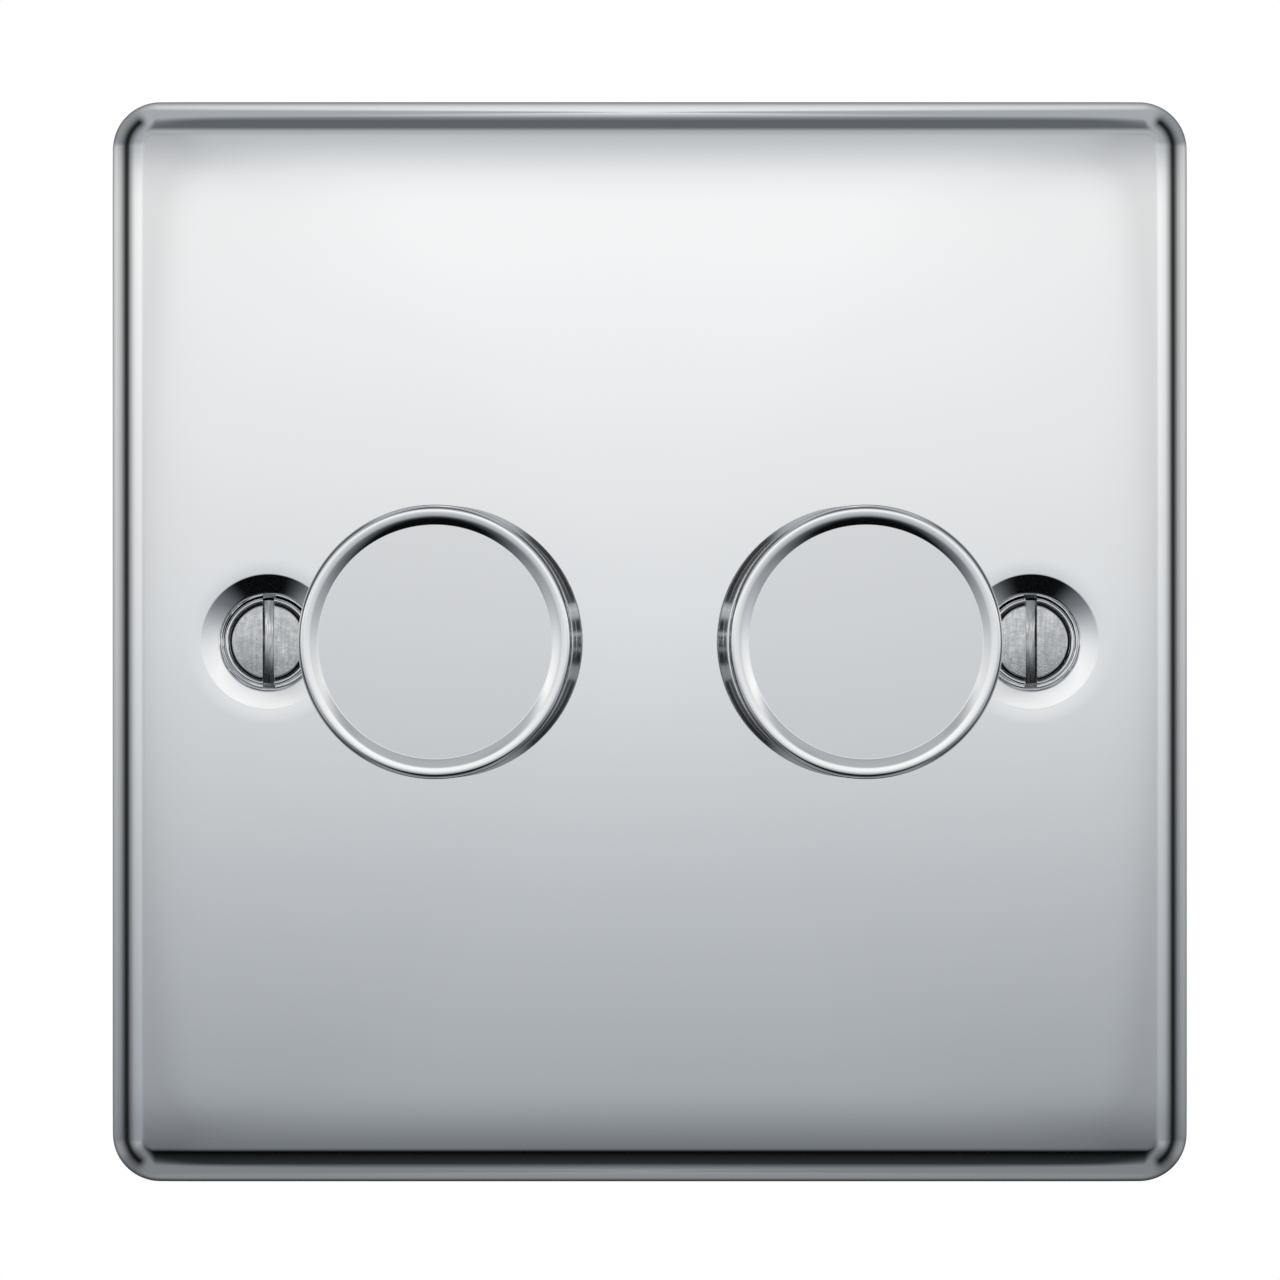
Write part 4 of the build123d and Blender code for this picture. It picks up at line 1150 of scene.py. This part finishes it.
class DIMMER_OT_housing(bpy.types.Operator):
    """Moulds the housing of the controls, with its hook windows and wire notches"""

    bl_idname = "dimmer.housing"
    bl_label = "Housing"

    def execute(self, context):
        sizes = context.scene.dimmer_housing
        front = HOUSING_LOW.y
        back = HOUSING_HIGH.y
        width, height = span(HOUSING_LOW, HOUSING_HIGH)
        inner_x = width / 2 - sizes.wall
        inner_z = height / 2 - sizes.wall
        inside = front + sizes.floor
        past = 2 * sizes.wall
        housing = slab("housing_shell", HOUSING_LOW, HOUSING_HIGH, sizes.corner, front)
        combine(housing, [block((-inner_x, inside, -inner_z), (inner_x, back + past, inner_z))])
        combine(housing, self.posts(inner_x, inner_z, inside, sizes.post), "UNION")
        cuts = []
        for side, direction in SIDES.items():
            bush = direction * context.scene.dimmer_knob.spindle
            cuts.append(drill(sizes.bush_hole, (bush, front - past, 0.0), (bush, inside + past, 0.0)))
            half = sizes.notch / 2
            for x, _ in terminal_places(side):
                low = (x - half, back - sizes.notch_depth, -height)
                cuts.append(block(low, (x + half, back + past, LAP - inner_z)))
            cuts += self.hook_windows(direction * width / 2, past, sizes)
        half = sizes.groove / 2
        deep = height / 2 - sizes.groove_depth
        for i in range(-3, 4):
            x = i * sizes.groove_pitch
            cuts.append(block((x - half, past, deep), (x + half, back - past, height)))
        combine(housing, cuts)
        soften_edges(housing, sizes.soft_edge)
        smooth(housing, 40.0)
        plastic = moulded("housing_moulding", context.scene.dimmer_colours.housing, rough=0.42, grain=2200.0)
        place(housing, "base", "housing_plastic", plastic, "dimmer_housing")
        return {"FINISHED"}

    def posts(self, inner_x, inner_z, inside, width):
        """Posts in the four corners that carry the circuit board."""
        board_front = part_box("circuit_board")[0].y
        blocks = []
        for sx in (-1, 1):
            for sz in (-1, 1):
                x = sorted((sx * (inner_x + LAP), sx * (inner_x - width)))
                z = sorted((sz * (inner_z + LAP), sz * (inner_z - width)))
                blocks.append(block((x[0], inside - LAP, z[0]), (x[1], board_front, z[1])))
        return blocks

    def hook_windows(self, x, past, sizes):
        """Cutters for the two windows in one side that the cover's hooks snap into."""
        half = sizes.hook_window / 2
        front = COVER_LOW.y - 0.4 * MM
        back = front + sizes.hook_height
        places = (-sizes.hook_spacing, sizes.hook_spacing)
        return [block((x - past, front, z - half), (x + past, back, z + half)) for z in places]


def terminal_places(side):
    """The X and Z of each clamp screw in the row of three on one side."""
    pitch = bpy.context.scene.dimmer_terminal.pitch
    low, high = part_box(f"{side}_terminal_screws")
    middle = (low + high) / 2
    return [(middle.x + i * pitch, middle.z) for i in (-1, 0, 1)]


class DIMMER_OT_rear_cover(bpy.types.Operator):
    """Moulds the rear cover with its vents, driver holes and snap hooks"""

    bl_idname = "dimmer.rear_cover"
    bl_label = "Rear cover"

    def execute(self, context):
        sizes = context.scene.dimmer_cover
        width, _ = span(COVER_LOW, COVER_HIGH)
        back = COVER_HIGH.y
        front = back - sizes.sheet
        past = sizes.sheet
        cover = slab("cover_panel", COVER_LOW, COVER_HIGH, sizes.corner, front)
        cuts = []
        for side in SIDES:
            for x, z in terminal_places(side):
                cuts.append(drill(sizes.driver_hole, (x, front - past, z), (x, back + past, z)))
        for i in range(-3, 4):
            x = i * sizes.vent_pitch
            low = (x - sizes.vent / 2, front - past, sizes.vent_height - sizes.vent_length / 2)
            high = (x + sizes.vent / 2, back + past, sizes.vent_height + sizes.vent_length / 2)
            cuts.append(block(low, high))
        half = width / 2 - sizes.panel_margin
        low = (-half, back - sizes.panel_depth, sizes.panel_low)
        cuts.append(block(low, (half, back + past, sizes.panel_high)))
        combine(cover, cuts)
        soften_edges(cover, sizes.soft_edge, segments=3)
        first = self.hook(width / 2 - sizes.hook_inset, front, sizes)
        hooks = [first]
        hooks.append(copy_at(first, "cover_hook_1", (0.0, 0.0, 2 * sizes.hook_spacing)))
        for i, hook in enumerate(tuple(hooks)):
            other = copy_at(hook, f"cover_hook_{i + 2}", (0.0, 0.0, 0.0))
            bpy.ops.object.mode_set(mode="EDIT")
            bpy.ops.mesh.select_all(action="SELECT")
            bpy.ops.transform.mirror(constraint_axis=(True, False, False), center_override=(0.0, 0.0, 0.0))
            bpy.ops.mesh.normals_make_consistent(inside=False)
            bpy.ops.object.mode_set(mode="OBJECT")
            hooks.append(other)
        cover = join("cover_panel", [cover, *hooks])
        smooth(cover, 40.0)
        plastic = moulded("cover_moulding", context.scene.dimmer_colours.cover, rough=0.42, grain=2200.0)
        place(cover, "base", "cover_plastic", plastic, "rear_cover")
        return {"FINISHED"}

    def hook(self, x, front, sizes):
        """The lower hook on the right: an arm with a barb that points outwards."""
        half = sizes.hook / 2
        z = -sizes.hook_spacing
        hook = open_new("cover_hook_0", empty=True)
        low = (x - sizes.hook_arm, COVER_LOW.y, z - half)
        add, options = block(low, (x, front + SINK, z + half))
        add(**options)
        barb_back = COVER_LOW.y + sizes.barb
        bpy.ops.mesh.bisect(plane_co=(0.0, barb_back, 0.0), plane_no=(0.0, 1.0, 0.0))
        pick(hook, "FACE", lambda f: f.normal.x > 0.9 and f.calc_center_median().y < barb_back)
        extrude_faces((sizes.barb, 0.0, 0.0))
        clear = 10 * TINY
        pick(hook, "EDGE", lambda e: all(v.co.x > x + clear and v.co.y < barb_back - clear for v in e.verts))
        bpy.ops.mesh.bevel(offset=0.6 * sizes.barb, segments=3, affect="EDGES")
        weld_and_face_out()
        close_edit(hook)
        return hook


class DIMMER_OT_terminals(bpy.types.Operator):
    """Makes a brass terminal and its slotted clamp screw, copies them, and makes the earth terminal"""

    bl_idname = "dimmer.terminals"
    bl_label = "Terminals"

    def clamp_screw(self, name, x, z, front, back, sizes):
        """A slotted clamp screw with a rounded head, from its tip to the back of its head."""
        head_front = back - sizes.head_height
        point = 0.35 * MM
        chamfer = 0.2 * MM
        rounding = 0.4 * MM
        profile = [
            (0.0, front),
            (sizes.shank - point, front),
            (sizes.shank, front + point),
            (sizes.shank, head_front),
            (sizes.head - chamfer, head_front),
            (sizes.head, head_front + chamfer),
        ]
        profile += arc((sizes.head - rounding, back - rounding), rounding, 0, -90, steps=6)
        profile += [(0.0, back)]
        screw = lathe(name, x, z, profile, steps=48)
        half = sizes.slot / 2
        reach = 2 * sizes.head
        low = (x - reach, back - sizes.slot_depth, z - half)
        combine(screw, [block(low, (x + reach, back + reach, z + half))])
        soften_edges(screw, 0.05 * MM, segments=1)
        smooth(screw, 40.0)
        return screw

    def terminal(self, name, low, high, screw_z, wire_y, sizes):
        """A brass block with a bore for the wire and a threaded hole for its clamp screw."""
        brass = open_new(name, empty=True)
        add, options = block(low, high)
        add(**options)
        close_edit(brass)
        x = (low[0] + high[0]) / 2
        past = sizes.width
        start, end = (x, wire_y, low[2] - past), (x, wire_y, high[2] + past)
        combine(brass, [drill(sizes.wire_bore, start, end, "Z", vertices=48)])
        start, end = (x, wire_y, screw_z), (x, high[1] + past, screw_z)
        combine(brass, [drill(sizes.thread_hole, start, end, vertices=48)])
        soften_edges(brass, sizes.soft_edge)
        smooth(brass, 40.0)
        return brass

    def execute(self, context):
        sizes = context.scene.dimmer_terminal
        colours = context.scene.dimmer_colours
        brass_finish = bright_metal("terminal_brass", colours.brass, rough=0.26, drawn=(500.0, 4200.0, 500.0))
        zinc_finish = bright_metal(
            "zinc_of_the_clamp_screws", colours.zinc, rough=0.24, drawn=(2600.0, 2600.0, 2600.0)
        )
        low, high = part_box("left_terminal_blocks")
        tip, head = (corner.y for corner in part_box("left_terminal_screws"))
        x, z = terminal_places("left")[0]
        half = sizes.width / 2
        corners = (x - half, low.y, low.z), (x + half, high.y, high.z)
        block_0 = self.terminal("terminal_0", *corners, z, low.y + sizes.wire_height, sizes)
        clamp_0 = self.clamp_screw("clamp_0", x, z, tip, head, sizes)
        for side in SIDES:
            blocks = []
            clamps = []
            for i, (at, _) in enumerate(terminal_places(side)):
                blocks.append(copy_at(block_0, f"{side}_terminal_{i}", (at - x, 0.0, 0.0)))
                clamps.append(copy_at(clamp_0, f"{side}_clamp_{i}", (at - x, 0.0, 0.0)))
            terminals = join(f"{side}_terminal_set", blocks)
            place(terminals, "base", "terminal_brass", brass_finish, f"{side}_terminal_blocks")
            screws = join(f"{side}_clamp_set", clamps)
            place(screws, "base", "zinc_steel", zinc_finish, f"{side}_terminal_screws")
        bpy.data.objects.remove(block_0, do_unlink=True)
        bpy.data.objects.remove(clamp_0, do_unlink=True)
        low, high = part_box("earth_terminal")
        tip, head = (corner.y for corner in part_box("earth_screw"))
        z = (low.z + high.z) / 2
        wire_y = high.y - sizes.earth_wire_depth
        earth = self.terminal("earth_block", tuple(low), tuple(high), z, wire_y, sizes)
        place(earth, "base", "terminal_brass", brass_finish, "earth_terminal")
        clamp = self.clamp_screw("earth_clamp", 0.0, z, tip, head, sizes)
        place(clamp, "base", "zinc_steel", zinc_finish, "earth_screw")
        return {"FINISHED"}


class DIMMER_OT_return_springs(bpy.types.Operator):
    """Winds the return spring of a push switch, copies it, and gives each spring that a joint deforms its own
    mesh
    """

    bl_idname = "dimmer.return_springs"
    bl_label = "Return springs"

    def execute(self, context):
        sizes = context.scene.dimmer_spring
        steel = bright_metal("spring_wire", context.scene.dimmer_colours.spring, rough=0.22)
        low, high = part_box("left_return_spring")
        wire = sizes.wire / 2
        coil = (high.z - low.z) / 2 - wire
        run = high.y - low.y - sizes.wire
        left = open_new("left_coil_spring", empty=True)
        bpy.ops.mesh.primitive_circle_add(vertices=16, radius=wire, location=(coil, low.y + wire, 0.0))
        wind(left, run / sizes.turns, sizes.turns, steps=36)
        bpy.ops.transform.translate(value=((low.x + high.x) / 2, 0.0, (low.z + high.z) / 2))
        close_edit(left)
        smooth(left, 50.0)
        right = copy_at(left, "right_coil_spring", (-(low.x + high.x), 0.0, 0.0))
        springs = {"left_return_spring": left, "right_return_spring": right}
        for joint in frame["record"]["behaviour"]["joints"]:
            for entry in joint.get("deforming_nodes", ()):
                spring = springs[entry["node"]]
                place(spring, "base", "spring_steel", steel, entry["node"])
                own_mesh(spring)
        return {"FINISHED"}


class DIMMER_OT_inner_pieces(bpy.types.Operator):
    """Finishes the solids that stay as they are, most of them inside the housing"""

    bl_idname = "dimmer.inner_pieces"
    bl_label = "Inner pieces"

    def execute(self, context):
        choke_low, choke_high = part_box("right_choke")
        choke = ((choke_low.x + choke_high.x) / 2, (choke_low.z + choke_high.z) / 2)

        def metal(slot, name, rough, **marks):
            return slot, bright_metal(name, SLOT_COLOURS[slot], rough, **marks)

        def plastic(slot, name, rough, grain):
            return slot, moulded(name, SLOT_COLOURS[slot], rough, grain)

        finishes = dict(
            (
                metal("spring_steel", "spring_steel", rough=0.22),
                metal("shaft_metal", "drawn_shaft", rough=0.2, drawn=(2400.0, 120.0, 2400.0)),
                metal("bush_metal", "cast_bush", rough=0.3),
                metal("zinc_steel", "zinc_washer", rough=0.24),
                metal("nickel_nut", "nickel_nut", rough=0.18),
                plastic("control_plastic", "control_moulding", rough=0.45, grain=2600.0),
                plastic("rotor_plastic", "rotor_moulding", rough=0.4, grain=2600.0),
                metal("wiper_brass", "wiper_strip", rough=0.24),
                plastic("wafer_board", "wafer_board", rough=0.5, grain=3000.0),
                metal("tinned_wire", "tinned_pin", rough=0.3),
                plastic("epoxy_black", "epoxy_case", rough=0.5, grain=3600.0),
                plastic("capacitor_box", "capacitor_box", rough=0.35, grain=1800.0),
                metal("capacitor_can", "capacitor_can", rough=0.3),
                metal("sink_aluminium", "rolled_sink", rough=0.32, drawn=(160.0, 900.0, 2600.0)),
            )
        )
        finishes["copper_choke"] = wound_copper("choke_winding", SLOT_COLOURS["copper_choke"], choke)
        finishes["circuit_laminate"] = laminate("circuit_laminate", SLOT_COLOURS["circuit_laminate"])
        slots = {entry["node"]: entry["material_slot"] for entry in frame["record"]["subparts"]}
        for name, solid in frame["nodes"].items():
            if solid.hide_render:
                continue
            if slots[name] not in finishes:
                raise RuntimeError(f"{name}: no finish for {slots[name]}")
            for holder in solid.material_slots:
                holder.material = finishes[slots[name]]
            if not solid.material_slots:
                solid.data.materials.append(finishes[slots[name]])
        return {"FINISHED"}


# What mirrors see in front of the plate and behind it, by height:
# degrees above the floor, display brightness and how cool the light is
LIGHT_AHEAD = (
    (-90, 0.62, 1),
    (-73, 0.46, 2),
    (-60, 0.19, 3),
    (-40, 0.13, 3),
    (-27, 0.03, 2),
    (-21.5, 0.03, 2),
    (-18.5, 0.3, 2),
    (-14, 0.5, 1.3),
    (-10, 0.65, 1.1),
    (-5, 0.77, 0.8),
    (0, 0.89, 0.4),
    (4, 0.945, 0.2),
    (8.4, 0.995, 0),
    (10.5, 0.95, 0.2),
    (14.5, 0.77, 0.6),
    (17, 0.71, 0.8),
    (25, 0.69, 1),
    (29, 0.58, 1.2),
    (36, 0.4, 1.6),
    (57, 0.39, 1.6),
    (68, 0.52, 1.2),
    (84, 0.88, 0.4),
    (90, 0.93, 0.2),
)
LIGHT_BEHIND = (
    (-90, 0.6, 1),
    (-56, 0.54, 1),
    (-45, 0.36, 1.5),
    (-33, 0.22, 2),
    (-16, 0.24, 2),
    (-4, 0.6, 1),
    (4, 0.64, 1),
    (14, 0.34, 1.5),
    (28, 0.48, 1),
    (47, 0.68, 0.8),
    (62, 0.86, 0.4),
    (80, 0.93, 0.2),
    (90, 0.93, 0.2),
)
# How much of the light ahead is left at an angle from straight ahead, in degrees
LIGHT_BESIDE = (
    (0, 1.0),
    (9, 0.97),
    (13, 0.92),
    (15.5, 0.79),
    (21, 0.8),
    (28, 1.0),
    (36, 0.98),
    (48, 0.87),
    (60, 0.44),
    (70, 0.05),
    (78, 0.03),
    (86, 0.2),
    (95, 0.46),
    (108, 0.64),
    (126, 0.72),
    (156, 0.5),
    (180, 0.5),
)


class DIMMER_OT_stage(bpy.types.Operator):
    """Sets the camera, the pale floor and the soft studio light"""

    bl_idname = "dimmer.stage"
    bl_label = "Stage"

    def execute(self, context):
        settings = context.scene.dimmer_stage
        clear_selection()
        bpy.ops.object.camera_add(
            location=(settings.camera_x, -settings.distance, settings.camera_z), rotation=(pi / 2, 0.0, 0.0)
        )
        camera = context.object
        camera.name = "photo_camera"
        camera.data.angle = settings.view
        camera.data.clip_start = 0.01
        context.scene.camera = camera
        bpy.ops.mesh.primitive_plane_add(size=6.0, location=(0.0, 0.0, -settings.floor_drop))
        floor = context.object
        floor.name = "pale_floor"
        material, root, place_on = new_finish("floor_paper")
        cloud = noise(root, place_on, 3.0)
        axes = split(root, place_on)
        away = root.maths("SQRT", axes * axes + axes.out("Y") * axes.out("Y"))
        paper = {
            "Base Color": cloud.tones(settings.floor, 0.995, 1.005),
            "Roughness": 0.8,
            "Specular IOR Level": 0.0,
            "Alpha": 1.0 - away.step(0.1, 0.26),
        }
        floor.data.materials.append(close_finish(material, root, paper))
        floor.visible_glossy = False
        for name, location, turn, size, power in (
            ("front_softbox", (-0.35, -0.7, 0.75), (radians(43), 0.0, radians(-26)), 0.7, 5.0),
            ("rear_softbox", (0.45, 0.8, 0.6), (radians(-50), 0.0, radians(-29)), 0.7, 4.0),
        ):
            bpy.ops.object.light_add(type="AREA", location=location, rotation=turn)
            lamp = context.object
            lamp.name = name
            lamp.data.size = size
            lamp.data.energy = power
            lamp.visible_glossy = False
        self.light_the_room(context.scene, settings)
        context.scene.view_settings.view_transform = "Standard"
        return {"FINISHED"}

    def light_the_room(self, scene, settings):
        """White to the camera, soft to matt surfaces, and panels and dark gaps to what mirrors them."""
        world = bpy.data.worlds.new("studio_room")
        scene.world = world
        world.use_nodes = True
        world.node_tree.nodes.clear()
        root = Wire(world.node_tree)
        towards = root.node("ShaderNodeTexCoord").out("Generated")
        axes = split(root, towards)
        up = axes.out("Z")
        forward = 0.0 - axes.out("Y")
        # Height, turn to either side and angle from straight ahead, each as a share of a half turn
        lift = root.maths("ARCSINE", up) / pi + 0.5
        turn = root.maths("ARCTAN2", root.maths("ABSOLUTE", axes), forward) / pi
        apart = root.maths("ARCCOSINE", forward) / pi
        # 0 for light from the sides and 1 for light from above and below
        steep = root.maths("ABSOLUTE", up) / root.maths("SQRT", axes * axes + up * up)

        def ramp(along, stops):
            shape = {"interpolation": "LINEAR", "stops": stops}
            return root.node("ShaderNodeValToRGB", shape, {"Fac": along})

        def by_height(stops):
            cool = (-0.055, 0.0, 0.055)
            return ramp(
                lift, [((a + 90) / 180, [linear(b) * (1 + c * k) for k in cool]) for a, b, c in stops]
            )

        ahead = by_height(LIGHT_AHEAD)
        behind = by_height(LIGHT_BEHIND)
        beside = ramp(apart, [(a / 180, [share] * 3) for a, share in LIGHT_BESIDE])
        side_share = 1.0 - (1.0 - beside) * (1.0 - steep.step(0.78, 0.92))
        low_side, low_corner, high_corner = (
            (*[linear(level) * k for k in (0.95, 1.0, 1.05)], 1.0) for level in (0.68, 0.52, 0.68)
        )
        low = steep.step(0.45, 0.7).blend(low_side, low_corner)
        corners = lift.step(0.4, 0.6).blend(low, high_corner)
        in_corner = root.maths("ABSOLUTE", lift - 0.5).step(9 / 180, 18 / 180) * turn.step(15 / 180, 32 / 180)
        panels = in_corner.blend(ahead, corners)
        lit = root.node("ShaderNodeVectorMath", {"operation": "SCALE"}, {0: panels, "Scale": side_share})
        mirrored = turn.step(0.68, 0.94).blend(lit, behind)
        path = root.node("ShaderNodeLightPath")
        soft = (*[settings.fill] * 3, 1.0)
        seen = path.out("Is Glossy Ray").blend(soft, mirrored)
        direct = root.maths("MAXIMUM", path.out("Is Camera Ray"), path.out("Is Transmission Ray"))
        colour_out = direct.blend(seen, (1.0, 1.0, 1.0, 1.0))
        surface = root.node("ShaderNodeBackground", None, {"Color": colour_out, "Strength": 1.0})
        root.node("ShaderNodeOutputWorld", None, {"Surface": surface})


def linear(value):
    """The linear level of a display brightness from 0 to 1."""
    return value / 12.92 if value <= 0.04045 else ((value + 0.055) / 1.055) ** 2.4


class DIMMER_PT_pieces(bpy.types.Panel):
    """Lists the pieces of the dimmer switch"""

    bl_idname = "DIMMER_PT_pieces"
    bl_label = "Double dimmer switch"
    bl_space_type = "VIEW_3D"
    bl_region_type = "UI"
    bl_category = "Dimmer"

    def draw(self, context):
        for operator in OPERATORS:
            self.layout.operator(operator.bl_idname)
        for name in GROUPS:
            group = getattr(context.scene, name)
            box = self.layout.box()
            for key in group.__annotations__:
                box.prop(group, key)


GROUPS = {
    "dimmer_plate": PlateSizes,
    "dimmer_knob": KnobSizes,
    "dimmer_screw": ScrewSizes,
    "dimmer_liner": LinerSizes,
    "dimmer_housing": HousingSizes,
    "dimmer_cover": CoverSizes,
    "dimmer_terminal": TerminalSizes,
    "dimmer_spring": SpringSizes,
    "dimmer_colours": Colours,
    "dimmer_stage": StageSettings,
}
OPERATORS = (
    DIMMER_OT_stage,
    DIMMER_OT_face_plate,
    DIMMER_OT_knobs,
    DIMMER_OT_fixing_screws,
    DIMMER_OT_back_liner,
    DIMMER_OT_housing,
    DIMMER_OT_rear_cover,
    DIMMER_OT_terminals,
    DIMMER_OT_return_springs,
    DIMMER_OT_inner_pieces,
)


def register():
    for cls in (*GROUPS.values(), *OPERATORS, DIMMER_PT_pieces):
        bpy.utils.register_class(cls)
    for name, cls in GROUPS.items():
        setattr(bpy.types.Scene, name, bpy.props.PointerProperty(type=cls))


def unregister():
    for name in GROUPS:
        delattr(bpy.types.Scene, name)
    for cls in reversed((*GROUPS.values(), *OPERATORS, DIMMER_PT_pieces)):
        bpy.utils.unregister_class(cls)


def main():
    register()
    bpy.ops.dimmer.stage()
    bpy.ops.dimmer.face_plate()
    bpy.ops.dimmer.knobs()
    bpy.ops.dimmer.fixing_screws()
    bpy.ops.dimmer.back_liner()
    bpy.ops.dimmer.housing()
    bpy.ops.dimmer.rear_cover()
    bpy.ops.dimmer.terminals()
    bpy.ops.dimmer.return_springs()
    bpy.ops.dimmer.inner_pieces()


if __name__ == "__main__":
    main()
